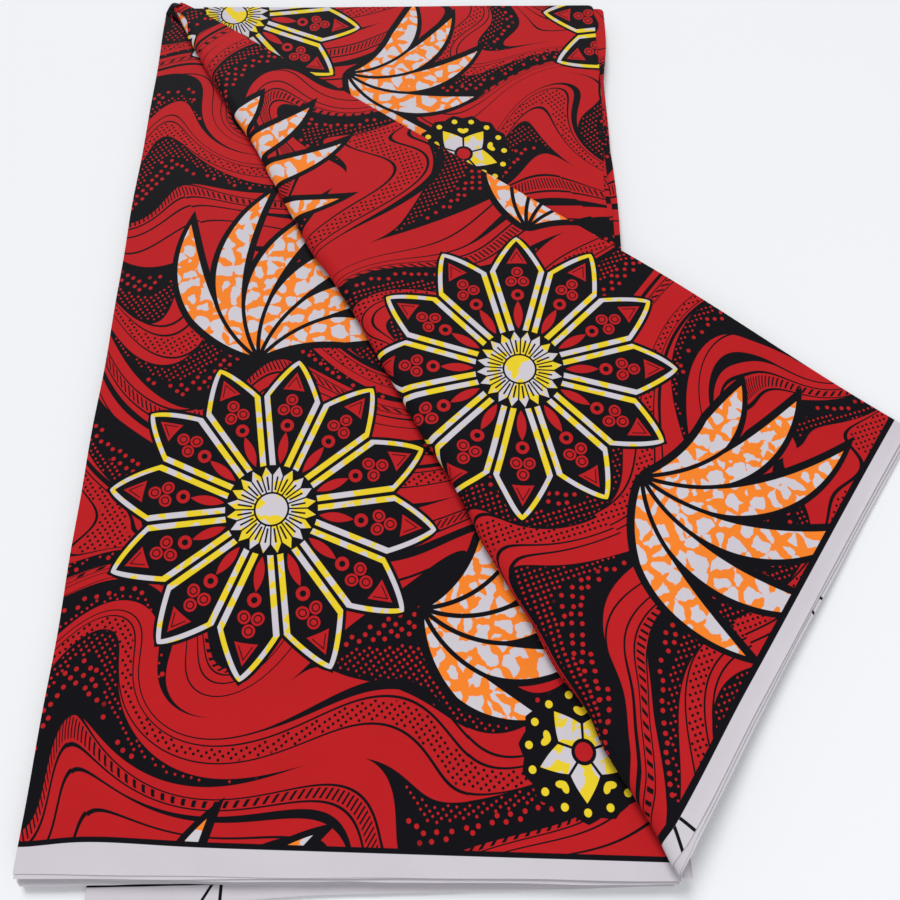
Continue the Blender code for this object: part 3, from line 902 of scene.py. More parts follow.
def slit(along):
    """Up to which angle round the roll the outer sheet is open: 0 where it is closed."""
    share = np.clip((along - SLIT_START) / SLIT_LENGTH, 0.0, 1.0)
    return np.radians(SLIT_OPEN * np.sin(math.pi * share) ** SLIT_ROUND)


def return_run(along, part):
    """How far a sheet runs back under the roll: less and less towards the pile's right side."""
    room = (MOUTH_RIGHT - on_ground(along, 0.0)[0]) / ACROSS[0] - roll_radius(along)
    return np.clip(room, RETURN_SHORTEST, RETURN_LENGTH) * part


class RolledRows:
    """Rows of points of one sheet that wraps the roll, and their places in the cloth."""

    def __init__(self, sheet):
        self.sheet = sheet
        self.outer = sheet.depth == 0.0
        dense = np.linspace(0.0, DENSE_SHARE, DENSE_COLUMNS)
        columns = FLAP_COLUMNS if self.outer else UNDER_COLUMNS
        self.share = np.concatenate((dense, np.linspace(DENSE_SHARE, 1.0, columns)[1:]))
        self.points = []
        self.places = []

    def bare_edge(self, across):
        """How far along the fold this sheet's bare edge lies."""
        grown = smooth((FOOT_OUT_START - across) / FOOT_OUT_LENGTH)
        out = self.sheet.out + (self.sheet.foot_out - self.sheet.out) * grown
        if not self.outer:
            out = out + ripple(across, self.sheet.seed, OUT_RIPPLE)
        return raw_edge(across) + out * RAW_SLANT

    def open_columns(self, first, last):
        """The columns of a row whose far end is open: its first ones lie close together."""
        start = first + CLOSE_STEPS
        return np.concatenate((start[:-1], start[-1] + (last - start[-1]) * self.share))

    def add_row(self, along, x, y, z, across):
        self.points.append(np.stack((x, y, z + 0.0 * x), axis=-1))
        p, q = flap_place(along, across + 0.0 * along, self.sheet.out)
        self.places.append(np.stack((p + self.sheet.shift, q), axis=-1))

    def add_return(self, part):
        """A row under the roll, at this part of the way back."""
        flat = unrolled(FOLD_LENGTH, UNDERSIDE)
        last = self.bare_edge(flat)
        # the run back and the bare edge depend on each other, so they are found in turns
        for _ in range(3):
            last = self.bare_edge(flat - float(return_run(last, part)))
        flap_start = float(far_edge(roll_radius(0.0) + RETURN_LENGTH * part))
        along = self.open_columns(max(self.sheet.roll_back, flap_start), last)
        run = return_run(along, part)
        x, y = on_ground(along, roll_radius(along) + run + fold_wave(along))
        curl = MOUTH_CURL * smooth((part - CURL_PART) / (1.0 - CURL_PART))
        z = ROLL_FLOOR + self.sheet.depth + curl * smooth((along - CURL_START) / CURL_LENGTH)
        self.add_row(along, x, y, z, unrolled(along, UNDERSIDE) - run)

    def add_arc(self, part, lower):
        """A row round the roll, below the slit or above it."""
        middle = UNDERSIDE * (1.0 - part) if lower else -UNDERSIDE * part
        last = self.bare_edge(unrolled(FOLD_LENGTH, middle))
        along = self.open_columns(FLAP_FIRST_ALONG + self.sheet.roll_back, last)
        open_to = slit(along) if self.outer else 0.0 * along
        angle = middle + 0.0 * along if lower else open_to + (-UNDERSIDE - open_to) * part
        radius, depth = roll_radius(along), self.sheet.depth
        wide = np.where(angle > 0.0, roll_shoulder(along), radius)
        x, y = on_ground(along, wide - (wide - depth) * np.cos(angle) + fold_wave(along))
        z = ROLL_FLOOR + radius + (radius - depth) * np.sin(angle)
        self.add_row(along, x, y, z, unrolled(along, angle))

    def add_flap_row(self, across):
        """A row over the flap, from its folded or open far end to its bare edge."""
        sheet = self.sheet
        first, last = float(far_edge(across)), float(self.bare_edge(across))
        folded = float(smooth((across - FOLD_START) / FOLD_GROWTH))
        if not self.outer:
            folded = 0.0
            near_roll = float(smooth(1.0 - across / BACK_REACH))
            first += sheet.flap_back * FAR_SLANT + (sheet.roll_back - sheet.flap_back) * near_roll
        under = UNDER_STEPS * folded * FAR_SLANT + OPEN_UNDER_STEPS * (1.0 - folded)
        over = FAR_STEPS * folded * FAR_SLANT + OPEN_FAR_STEPS * (1.0 - folded)
        under = np.minimum(first + under, last - LAST_GAP)
        over = np.minimum(first + over, last - LAST_GAP)
        rest = over[-1] + (last - over[-1]) * self.share[1:]
        along = np.concatenate((under, over, rest))
        under_drop = 2.0 * FLAP_NOSE - nose_drop(UNDER_STEPS, FLAP_NOSE)
        drop = np.concatenate((under_drop, nose_drop(FAR_STEPS, FLAP_NOSE), 0.0 * rest)) * folded
        fade = 1.0 - smooth((across - WAVE_FADE_START) / ROLL_SPREAD_FOOT)
        x, y = on_ground(along, across + fold_wave(along) * fade)
        sag = sheet.dip * smooth(1.0 - (last - along) / DIP_LENGTH)
        sag = sag * smooth((across - DIP_START) / DIP_GROWTH)
        sag = sag - EDGE_CURL * smooth(1.0 - (last - along) / EDGE_CURL_LENGTH) ** 2
        z = outer_sheet_top(along, across) - drop - sheet.depth - sag
        self.add_row(np.concatenate((2.0 * first - under, over, rest)), x, y, z, across)

    def move_to(self, shell):
        """Gives the rows to a shell, and starts afresh."""
        shell.add(np.array(self.points), np.array(self.places))
        self.points = []
        self.places = []


def rolled_sheet(sheet):
    """One of the sheets that run back under the roll, round it, and over the flap."""
    rows, shell = RolledRows(sheet), Shell()
    for part in RETURN_PARTS:
        rows.add_return(part)
    for part in LOWER_PARTS:
        rows.add_arc(part, True)
    rows.move_to(shell)
    for part in UPPER_PARTS:
        rows.add_arc(part, False)
    count = FLAP_ROWS if rows.outer else UNDER_ROWS
    flat_rows = np.linspace(FLAP_NEAR_ROWS[-1], CORNER_ACROSS, count)
    for across in np.concatenate((FLAP_NEAR_ROWS, flat_rows[1:])):
        rows.add_flap_row(across)
    rows.move_to(shell)
    return shell.build(sheet.name)


# The flap's inner layers: their level above its floor, how far their bare edge sticks out, how far
# their folded far edge is held back, which part of the print they show, and their edges' seed
InnerLayers = namedtuple("InnerLayers", "name level out flap_back shift seed")
INNER_LAYERS = (
    InnerLayers("flap_lower_sheets", 0.0, 0.0030, 0.0018, 0.11, 3),
    InnerLayers("flap_middle_sheets", INNER_PITCH, 0.0004, 0.0010, 0.07, 8),
)
INNER_NOSE = 0.00028
INNER_SHEET = 0.0006  # the top of the upper of two sheets, above their level
INNER_COLUMNS = 110
INNER_ROWS = 64
INNER_START = 0.015  # how far from the fold the inner sheets start
INNER_FAR_STEPS = np.concatenate((nose(INNER_NOSE), [0.003]))
INNER_UNDER_STEPS = np.concatenate(([0.006, 0.002], nose(INNER_NOSE)[::-1][:-1]))
INNER_UNDER_GAP = 0.002  # how far a row's two starts stay from its bare edge
INNER_OVER_GAP = 0.001
INNER_FREE = 0.03  # the sheets' edges stray within this distance of them
INNER_STACK = {"Sheets": 2, "Pitch": INNER_SHEET / 2.0, "Held back": 0.0006, "Unevenness": 0.0008,
               "Wave length": 0.06, "Print shift": 0.06}


def inner_outward(x, y):
    """The way out of the inner sheets at a place: square to the bare edge and to the folded one."""
    along = (x - FOLD_FAR_END[0]) * ALONG[0] + (y - FOLD_FAR_END[1]) * ALONG[1]
    across = (x - FOLD_FAR_END[0]) * ACROSS[0] + (y - FOLD_FAR_END[1]) * ACROSS[1]
    raw_way = (ALONG + RAW_EDGE_SLOPE * ACROSS) / RAW_SLANT
    far_way = -(ALONG - FAR_EDGE_SLOPE * ACROSS) / FAR_SLANT
    total = np.zeros((len(x), 3))
    for inside, way in (((raw_edge(across) - along) / RAW_SLANT, raw_way),
                        ((along - far_edge(across)) / FAR_SLANT, far_way)):
        total[:, :2] += smooth(1.0 - inside / INNER_FREE)[:, None] * way
    return total


def inner_layers(row, tree, finish):
    """Two inner sheets of the flap, folded at their far edge and bare at their raw one."""
    shell = Shell()
    share = np.linspace(0.0, 1.0, INNER_COLUMNS)[1:]
    under_drop = 2.0 * INNER_NOSE - nose_drop(INNER_UNDER_STEPS, INNER_NOSE)
    far_drop = nose_drop(INNER_FAR_STEPS, INNER_NOSE)
    drop = np.concatenate((under_drop, far_drop, 0.0 * share))
    points, places = [], []
    for across in np.linspace(INNER_START, CORNER_ACROSS, INNER_ROWS):
        held_back = row.flap_back * FAR_SLANT * smooth((across - INNER_START) / BACK_REACH)
        first = float(far_edge(across)) + held_back
        last = float(raw_edge(across)) + row.out * RAW_SLANT
        under = np.minimum(first + INNER_UNDER_STEPS * FAR_SLANT, last - INNER_UNDER_GAP)
        over = np.minimum(first + INNER_FAR_STEPS * FAR_SLANT, last - INNER_OVER_GAP)
        rest = over[-1] + (last - over[-1]) * share
        x, y = on_ground(np.concatenate((under, over, rest)), across)
        lift = flap_relief(x, y, across) * row.level / INNER_PITCH
        z = rest_height(x) + row.level + INNER_SHEET + lift - drop
        points.append(np.stack((x, y, z), axis=-1))
        p, q = flap_place(np.concatenate((2.0 * first - under, over, rest)), across, row.out)
        places.append(np.stack((p + row.shift, q), axis=-1))
    shell.add(np.array(points), np.array(places))
    made = shell.build(row.name, wall=None)
    return stack(made, tree, inner_outward, INNER_STACK | {"Seed": row.seed, "Finish": finish})


# The hood over the roll's far end: strips that fan out from the pile's far left corner, with three
# more places along each, in millimetres
HOOD_TIP = (-0.8, 573.5, 9.0)
HoodStrip = namedtuple("HoodStrip", "quarter middle end")
HOOD = (
    HoodStrip((3.2, 570.9, 10.3), (7.4, 568.3, 11.6), (11.9, 565.3, 12.8)),
    HoodStrip((3.0, 572.0, 10.9), (6.4, 570.6, 12.5), (9.7, 569.1, 13.2)),
    HoodStrip((2.4, 573.6, 11.3), (5.0, 573.4, 13.0), (7.9, 572.3, 13.7)),
    HoodStrip((2.0, 574.9, 11.6), (4.8, 575.3, 13.9), (9.4, 571.9, 16.8)),
    HoodStrip((1.8, 576.0, 11.5), (5.2, 576.7, 14.4), (12.0, 571.2, 18.2)),
    HoodStrip((1.6, 577.2, 11.0), (6.0, 577.9, 14.6), (14.2, 571.8, 18.4)),
    HoodStrip((1.3, 577.8, 10.2), (6.4, 578.9, 14.0), (15.4, 572.8, 17.4)),
    HoodStrip((1.4, 577.6, 9.6), (6.6, 578.7, 11.8), (15.4, 573.2, 13.6)),
    HoodStrip((1.5, 577.0, 9.1), (6.6, 577.8, 10.2), (15.0, 573.6, 11.2)),
)
HOOD_MIDDLE = np.array((0.008, 0.574))
HOOD_PRINT = np.array((0.362, 0.009))
HOOD_STEPS_ACROSS = 5
HOOD_STEPS_ALONG = 6

# The sheet that shows in the roll's slit, which lies inside a pale leaf of the print
SLIT_SHEET_DEPTH = 0.0009
SLIT_SHEET_ALONG = np.linspace(0.001, 0.033, 36)
SLIT_SHEET_ANGLES = np.radians(np.linspace(-40.0, 112.0, 24))
SLIT_PRINT = (0.0975, 0.305)
SLIT_PRINT_ANGLE = math.radians(40.0)


def through(points, count):
    """A smooth curve through points, with this many steps between each two of them."""
    points = np.asarray(points, float)
    before, after = 2.0 * points[:1] - points[1:2], 2.0 * points[-1:] - points[-2:-1]
    padded = np.concatenate((before, points, after))
    curve = []
    for i in range(len(points) - 1):
        a, b, c, d = padded[i:i + 4]
        for t in np.arange(count) / count:
            straight = (c - a) * t
            bent = (2.0 * a - 5.0 * b + 4.0 * c - d) * t * t
            twisted = (3.0 * b - a - 3.0 * c + d) * t ** 3
            curve.append(b + 0.5 * (straight + bent + twisted))
    curve.append(points[-1])
    return np.array(curve)


def rolled_tip():
    """The hood over the roll's far end, and the inner sheet that shows in its slit."""
    shell = Shell()
    strips = through(np.array([(HOOD_TIP, *strip) for strip in HOOD]) / 1000.0, HOOD_STEPS_ACROSS)
    points = np.array([through(strip, HOOD_STEPS_ALONG) for strip in strips])
    shell.add(points, points[:, :, :2] - HOOD_MIDDLE + HOOD_PRINT)
    along = SLIT_SHEET_ALONG
    radius, wide = roll_radius(along), roll_shoulder(along)
    inner = radius - SLIT_SHEET_DEPTH
    points, places = [], []
    for angle in SLIT_SHEET_ANGLES:
        from_fold = wide - (wide - SLIT_SHEET_DEPTH) * math.cos(angle) + fold_wave(along)
        x, y = on_ground(along, from_fold)
        points.append(np.stack((x, y, ROLL_FLOOR + radius + inner * math.sin(angle)), axis=-1))
        p = SLIT_PRINT[0] + inner * (angle - SLIT_PRINT_ANGLE)
        places.append(np.stack((p, SLIT_PRINT[1] + along), axis=-1))
    shell.add(np.array(points), np.array(places))
    return shell.build("rolled_tip")


class Amount:
    """A number that varies over the cloth: a node's output, so that sums can be written plainly."""

    def __init__(self, socket):
        self.socket = socket

    def __add__(self, other):
        return calculate("ADD", self, other)

    __radd__ = __add__

    def __sub__(self, other):
        return calculate("SUBTRACT", self, other)

    def __rsub__(self, other):
        return calculate("SUBTRACT", other, self)

    def __mul__(self, other):
        return calculate("MULTIPLY", self, other)

    __rmul__ = __mul__

    def __truediv__(self, other):
        return calculate("DIVIDE", self, other)

    def __mod__(self, other):
        return calculate("FLOORED_MODULO", self, other)


NODE_ROWS = 24  # how many nodes stand in a column, and how far apart they are
NODE_ACROSS = 170.0
NODE_DOWN = -150.0


def new_node(tree, kind, **settings):
    """A node in the next free place of a tidy raster."""
    node = tree.nodes.new(kind)
    column, row = divmod(len(tree.nodes), NODE_ROWS)
    node.location = (NODE_ACROSS * column, NODE_DOWN * row)
    for name, value in settings.items():
        setattr(node, name, value)
    return node


def feed(tree, socket, value):
    """Gives a socket a number, a colour or another node's output."""
    if isinstance(value, Amount):
        value = value.socket
    if isinstance(value, bpy.types.NodeSocket):
        tree.links.new(value, socket)
    else:
        socket.default_value = value


def calculate(operation, *values, clamp=False):
    """One Math node."""
    tree = next(value.socket.id_data for value in values if isinstance(value, Amount))
    node = new_node(tree, "ShaderNodeMath", operation=operation, use_clamp=clamp)
    for socket, value in zip(node.inputs, values):
        feed(tree, socket, value)
    return Amount(node.outputs[0])


def paint(under, over, mask):
    """Colour over laid on colour under where the mask is 1."""
    tree = mask.socket.id_data
    node = new_node(tree, "ShaderNodeMix", data_type="RGBA")
    feed(tree, node.inputs[0], mask)
    feed(tree, node.inputs[6], under)
    feed(tree, node.inputs[7], over)
    return node.outputs[2]


PRINT_SOFT = 0.16  # millimetres over which a printed edge fades


def above(value, edge, soft=PRINT_SOFT):
    """1 where value is over edge and 0 where it is under."""
    if isinstance(edge, Amount):
        return calculate("MULTIPLY_ADD", value - edge, 1.0 / soft, 0.5, clamp=True)
    return calculate("MULTIPLY_ADD", value, 1.0 / soft, 0.5 - edge / soft, clamp=True)


def below(value, edge, soft=PRINT_SOFT):
    if isinstance(edge, Amount):
        return calculate("MULTIPLY_ADD", value - edge, -1.0 / soft, 0.5, clamp=True)
    return calculate("MULTIPLY_ADD", value, -1.0 / soft, 0.5 + edge / soft, clamp=True)


def both(first, *others):
    for other in others:
        first = first * other
    return first


def either(first, *others):
    for other in others:
        first = calculate("MAXIMUM", first, other)
    return first


def size_of(value):
    return calculate("ABSOLUTE", value)


def sine(value):
    return calculate("SINE", value)


def smaller(first, second):
    return calculate("MINIMUM", first, second)


def larger(first, second):
    return calculate("MAXIMUM", first, second)


def between(value, low, high):
    """1 where value lies between two numbers."""
    return below(size_of(value - (low + high) / 2.0), (high - low) / 2.0)


def distance(x, y):
    return calculate("SQRT", calculate("MULTIPLY_ADD", x, x, y * y))


def wrap(value, period):
    """How far value is from the nearest multiple of period."""
    return (value + period / 2.0) % period - period / 2.0


# Lattices of dots: how far apart they are, how they are turned, and how much they are scattered
DotLattice = namedtuple("DotLattice", "pitch turn scatter")
FINE_DOTS = DotLattice(3.1, 0.62, 0.14)
COARSE_DOTS = DotLattice(4.9, 0.95, 0.30)


def nearest_dot(p, q, lattice):
    """How far a point is from the nearest dot's middle, and the place of that middle."""
    tree = p.socket.id_data
    c, s = math.cos(lattice.turn), math.sin(lattice.turn)
    turned = new_node(tree, "ShaderNodeCombineXYZ")
    feed(tree, turned.inputs[0], p * c + q * s)
    feed(tree, turned.inputs[1], q * c - p * s)
    cells = texture(tree, "ShaderNodeTexVoronoi", turned.outputs[0], 1.0 / lattice.pitch,
                    Randomness=lattice.scatter)
    middle = new_node(tree, "ShaderNodeSeparateXYZ")
    feed(tree, middle.inputs[0], cells.outputs["Position"])
    x, y = Amount(middle.outputs[0]), Amount(middle.outputs[1])
    return Amount(cells.outputs["Distance"]) * lattice.pitch, x * c - y * s, x * s + y * c


# The print repeats after these distances along the cloth and across it, in millimetres
REPEAT_P = 330.0
REPEAT_Q = 383.0

# The ground's whorls: where they are, how far they turn, in radians, and how wide they are
Whorl = namedtuple("Whorl", "p q turn size")
WHORLS = (
    Whorl(60.0, 90.0, 2.2, 62.0),
    Whorl(225.0, 300.0, -2.4, 70.0),
    Whorl(290.0, 150.0, 1.8, 55.0),
)
BAND_PERIOD = 120.0


def wind(p, q, whorl):
    """Winds the plane round a whorl and its repeats, most at its middle."""
    x = wrap(p - whorl.p, REPEAT_P)
    y = wrap(q - whorl.q, REPEAT_Q)
    away = calculate("MULTIPLY_ADD", x, x, y * y)
    angle = calculate("EXPONENT", away * (-1.0 / whorl.size ** 2)) * whorl.turn
    c, s = calculate("COSINE", angle), sine(angle)
    return p + x * c - y * s - x, q + x * s + y * c - y


# Waves that bend the bands, in turn along and across them
Bend = namedtuple("Bend", "by length phase")
FLOW_BENDS = (
    Bend(30.0, 52.0, 0.9),
    Bend(26.0, 44.0, 1.3),
    Bend(12.0, 31.0, 2.0),
    Bend(7.0, 21.0, 0.4),
)


def flow(p, q):
    """Distances along the bands of the flowing ground, and across them."""
    for whorl in WHORLS:
        p, q = wind(p, q, whorl)
    for bend in FLOW_BENDS:
        p, q = q, p + bend.by * sine(q / bend.length + bend.phase)
    return p, q


# Black bands that swell and pinch off, with red dots that grow and thin out from one side: where
# the bands lie in the period, how much they swell, over what length and where, and the dots' side
Swell = namedtuple("Swell", "middle size length phase side")
SWELLS = (
    Swell(37.0, 9.5, 41.0, 0.0, 1.0),
    Swell(94.0, 13.0, 36.0, 1.9, -1.0),
)


BAND_PINCH = 0.95  # under 1, so that a band is pinched off where its wave is lowest

# The fine dots of a band, which grow away from its edge, and the coarse ones beyond them
SMALL_DOT = 0.62
SMALL_DOT_GROWTH = 0.014
SMALL_DOTS_FROM = 0.25  # in halves of the band's width
BAND_RIM = 1.3
LARGE_DOT = 1.25
LARGE_DOTS_FROM = -0.40
DOTS_GAP = 1.9

# The rest of the ground, in millimetres across one period of its bands
LINE_HALF = 0.6  # half the width of a contour line
CONTOUR_LINES = (14.0, 22.6, 53.5, 66.5, 116.0)
STROKES = (72.0, 7.5)  # lines that swell here and there
STROKE_SWELL = 1.9
STROKE_LENGTH = 35.0
STROKE_PHASE = 2.6
COMB = (15.6, 21.2)
COMB_PITCH = 3.1
SCREEN = (55.2, 64.8)  # a stripe of even dots
SCREEN_DOT = 0.78


def band_half(row, along):
    """Half the width of a swelling band."""
    return BAND_PINCH * row.size + row.size * sine(along / row.length + row.phase)


def flowing_ground(p, q):
    """1 where the ground is black: contour lines, combs, dots and swelling bands."""
    along, across = flow(p, q)
    place = across % BAND_PERIOD
    black = either(*(below(size_of(place - at), LINE_HALF) for at in CONTOUR_LINES))
    stroke = larger(sine(along / STROKE_LENGTH + STROKE_PHASE), 0.0) * STROKE_SWELL + LINE_HALF
    black = either(black, *(below(size_of(place - at), stroke) for at in STROKES))
    comb = both(between(place, *COMB), below(size_of(wrap(along, COMB_PITCH)), LINE_HALF))
    fine, fine_p, fine_q = nearest_dot(p, q, FINE_DOTS)
    coarse, coarse_p, coarse_q = nearest_dot(p, q, COARSE_DOTS)
    fine_along, fine_across = flow(fine_p, fine_q)
    coarse_along, coarse_across = flow(coarse_p, coarse_q)
    fine_place, coarse_place = fine_across % BAND_PERIOD, coarse_across % BAND_PERIOD
    black = either(black, comb, both(between(fine_place, *SCREEN), below(fine, SCREEN_DOT)))
    for row in SWELLS:
        inside = band_half(row, along) - size_of(place - row.middle)
        half, offset = band_half(row, fine_along), (fine_place - row.middle) * row.side
        from_rim = half - offset
        small = both(below(fine, SMALL_DOT + SMALL_DOT_GROWTH * from_rim),
                     above(offset, SMALL_DOTS_FROM * half), above(from_rim, BAND_RIM))
        half, offset = band_half(row, coarse_along), (coarse_place - row.middle) * row.side
        large = both(below(coarse, LARGE_DOT), above(offset, LARGE_DOTS_FROM * half),
                     below(offset, SMALL_DOTS_FROM * half - DOTS_GAP))
        black = either(black, both(above(inside, 0.0), 1.0 - either(small, large)))
    return black


def petal_ring(x, y, count, turn):
    """Distances from a flower's middle and from its nearest petal's axis."""
    radius = distance(x, y)
    angle = calculate("ARCTAN2", y, x)
    return radius, size_of(wrap(angle + turn, 2.0 * math.pi / count)) * radius


# Sprays of curved leaves: where each springs from, its aim, the angle between two leaves, the
# numbers of its outer leaves, its reach and width, and how much its leaves bend
Spray = namedtuple("Spray", "p q aim spacing first last reach width bend")
SPRAYS = (
    Spray(96.0, 268.0, 1.95, 0.40, -3.0, 2.0, 132.0, 10.5, 0.0060),
    Spray(200.0, 118.0, -0.55, 0.42, -2.0, 2.0, 100.0, 10.0, -0.008),
)


LEAF_SHORTER = 0.035  # the outer leaves are shorter, by this times the square of their number
LEAF_SWELL = 2.6  # how wide a leaf is, how much is trimmed off it, and the gap between two leaves
LEAF_TRIM = 0.8
LEAF_GAP = 1.3
LEAF_OUTLINE = 4.8


def leaf_depth(x, y, spray):
    """How far inside a leaf of a spray a point is."""
    radius = distance(x, y)
    angle = wrap(calculate("ARCTAN2", y, x) - spray.aim + spray.bend * radius, math.tau)
    number = calculate("ROUND", angle / spray.spacing)
    number = smaller(larger(number, spray.first), spray.last)
    across = size_of(angle - number * spray.spacing) * radius
    share = radius / (spray.reach - LEAF_SHORTER * spray.reach * number * number)
    half = LEAF_SWELL * spray.width * share * (1.0 - share * share) - LEAF_TRIM
    return smaller(half, radius * (0.5 * spray.spacing) - LEAF_GAP) - across


def paint_sprays(colour, p, q, ink, fill):
    for spray in SPRAYS:
        x, y = wrap(p - spray.p, REPEAT_P), wrap(q - spray.q, REPEAT_Q)
        depth = leaf_depth(x, y, spray)
        colour = paint(colour, ink, above(depth, -LEAF_OUTLINE))
        colour = paint(colour, fill, above(depth, 0.0))
    return colour


# The small flower: where it is, its petals and how they are turned, its disc and eye, and the two
# rings of seeds round it
BUD_P = 285.0
BUD_Q = 47.0
BUD_PETALS = 5
BUD_TURN = 0.3
BUD_REACH = 25.0
BUD_GROWTH = 0.62
BUD_TAPER = 0.75
BUD_GAP = 0.6
BUD_EYE = 6.5
BUD_PUPIL = 4.6
DISC_RADIUS = 34.0
DISC_LOBES = 15
DISC_LOBE_DEPTH = 0.4
OUTER_SEEDS_AT = 28.5
OUTER_SEED = 2.0
INNER_SEEDS_AT = 20.0
INNER_SEEDS_ASIDE = 11.5
INNER_SEED = 2.4


def paint_bud(colour, p, q, inks, fill):
    """A small five-petalled flower on a black disc with two rings of seeds."""
    x, y = wrap(p - BUD_P, REPEAT_P), wrap(q - BUD_Q, REPEAT_Q)
    radius, across = petal_ring(x, y, BUD_PETALS, BUD_TURN)
    _, lobe_across = petal_ring(x, y, DISC_LOBES, BUD_TURN)
    disc = above(DISC_RADIUS - DISC_LOBE_DEPTH * lobe_across - radius, 0.0)
    colour = paint(colour, inks["Ink"], disc)
    inside = smaller(radius * BUD_GROWTH, (BUD_REACH - radius) * BUD_TAPER) - across
    colour = paint(colour, fill, above(inside, BUD_GAP))
    outer_seed = below(distance(radius - OUTER_SEEDS_AT, lobe_across), OUTER_SEED)
    inner_seed = below(distance(radius - INNER_SEEDS_AT, across - INNER_SEEDS_ASIDE), INNER_SEED)
    colour = paint(colour, inks["Yellow"], either(outer_seed, inner_seed))
    colour = paint(colour, inks["Ink"], below(radius, BUD_EYE))
    return paint(colour, inks["Red"], below(radius, BUD_PUPIL))


# A petal's red motifs: their distances from the rosette's middle and from the petal's axis
LENS_AT = 38.0
LENS_HALF = 2.8
LENS_CURVE = 0.028
RING_AT = 52.5
RING_BAND = (1.8, 4.0)
PAIR_AT = 62.5
PAIR_ASIDE = 3.9
KNOT_TOP_AT = 69.5
KNOT_RADIUS = 3.7
KNOT_RING = (1.7, 2.4)
POINT_TIP = 88.0
POINT_TAPER = 0.55
POINT_FROM = 76.0
POINT_LINE = (1.5, 2.2)
POINT_LINE_FROM = 77.5


def petal_motifs(radius, across):
    """1 where a petal has a red motif: a lens, a ring, a knot of three rings and a point."""
    lens = LENS_HALF - LENS_CURVE * calculate("POWER", size_of(radius - LENS_AT), 2.0) - across
    ring = distance(radius - RING_AT, across)
    pair = distance(radius - PAIR_AT, across - PAIR_ASIDE)
    knot = smaller(pair, distance(radius - KNOT_TOP_AT, across))
    red = either(above(lens, 0.0), both(below(ring, RING_BAND[1]), above(ring, RING_BAND[0])))
    red = either(red, both(below(knot, KNOT_RADIUS), 1.0 - between(knot, *KNOT_RING)))
    wedge = (POINT_TIP - radius) * POINT_TAPER - across
    point = both(above(wedge, 0.0), above(radius, POINT_FROM))
    line = both(between(wedge, *POINT_LINE), above(radius, POINT_LINE_FROM))
    return either(red, both(point, 1.0 - line))


# The rosette: where it is, how it is turned, its petals with their outline, and the hub's parts
ROSETTE_P = 112.0
ROSETTE_Q = 172.0
ROSETTE_TURN = 0.1
ROSETTE_PETALS = 12
ROSETTE_REACH = 96.0
PETAL_GAP = 1.0
PETAL_ROUND = 0.75
PETAL_TAPER = 1.6
PETAL_OUTLINE = 2.4
PETAL_RIM = 3.5
PETAL_FIELD = 4.3
ROSETTE_GROUND = 62.0  # the ground is black up to here
PETALS_FROM = 24.0
HUB_PETALS = 20
HUB_GROUND = 27.0
HUB_REACH = 26.0
HUB_TAPER = 0.55
HUB_GAP = 0.45
SLOT_HALF = 0.55
SLOT_REACH = (11.5, 20.0)
EYE_OUTLINE = 10.4
EYE_RADIUS = 9.2


def paint_rosette(colour, p, q, inks, fill):
    """A flower of pointed petals with crackled outlines, round a small serrated hub."""
    x, y = wrap(p - ROSETTE_P, REPEAT_P), wrap(q - ROSETTE_Q, REPEAT_Q)
    radius, across = petal_ring(x, y, ROSETTE_PETALS, ROSETTE_TURN)
    taper = calculate("POWER", larger(ROSETTE_REACH - radius, 0.0), PETAL_ROUND) * PETAL_TAPER
    half = smaller(radius * math.sin(math.pi / ROSETTE_PETALS) - PETAL_GAP, taper)
    inside = half - larger(radius - ROSETTE_REACH, 0.0) - across
    ground = either(above(inside, -PETAL_OUTLINE), below(radius, ROSETTE_GROUND))
    colour = paint(colour, inks["Ink"], ground)
    colour = paint(colour, fill, both(between(inside, 0.0, PETAL_RIM), above(radius, PETALS_FROM)))
    red = both(petal_motifs(radius, across), above(inside, PETAL_FIELD))
    colour = paint(colour, inks["Red"], red)
    _, hub_across = petal_ring(x, y, HUB_PETALS, ROSETTE_TURN)
    hub_half = radius * math.sin(math.pi / HUB_PETALS) - HUB_GAP
    hub = smaller(hub_half, (HUB_REACH - radius) * HUB_TAPER) - hub_across
    colour = paint(colour, inks["Ink"], below(radius, HUB_GROUND))
    colour = paint(colour, fill, above(hub, 0.0))
    slots = both(below(hub_across, SLOT_HALF), between(radius, *SLOT_REACH))
    colour = paint(colour, inks["Ink"], either(slots, below(radius, EYE_OUTLINE)))
    return paint(colour, fill, below(radius, EYE_RADIUS))


# The black line along the print's edge, and the strokes on the bare selvedge beside it
BORDER_WIDTH = 2.5
FAR_BORDER_EXTRA = 1.1  # how much wider the black line is at the other selvedge
MARK_P = 612.4
MARK_PERIOD = 2.0 * REPEAT_P
MARK_WIDTH = 0.85
MARK_SPREAD = 4.7  # how far apart the two strokes are at the black line, and how fast they part
MARK_SLANT = 0.64


def paint_border(colour, p, q, inks):
    """The black line at the edge of the print, the bare selvedge, and two plain strokes on it."""
    far_edge_q = 1000.0 * PRINT_WIDTH
    from_edge = smaller(q, far_edge_q - q)
    line = either(below(from_edge, 0.0), above(q, far_edge_q - FAR_BORDER_EXTRA))
    colour = paint(colour, inks["Ink"], line)
    bare = below(from_edge, -BORDER_WIDTH)
    colour = paint(colour, inks["Pale"], bare)
    run = wrap(p - MARK_P, MARK_PERIOD)
    upright = below(size_of(run), MARK_WIDTH)
    apart = MARK_SPREAD - MARK_SLANT * BORDER_WIDTH
    slanted = below(size_of(run + apart - MARK_SLANT * from_edge), MARK_WIDTH)
    return paint(colour, inks["Ink"], both(either(upright, slanted), bare))


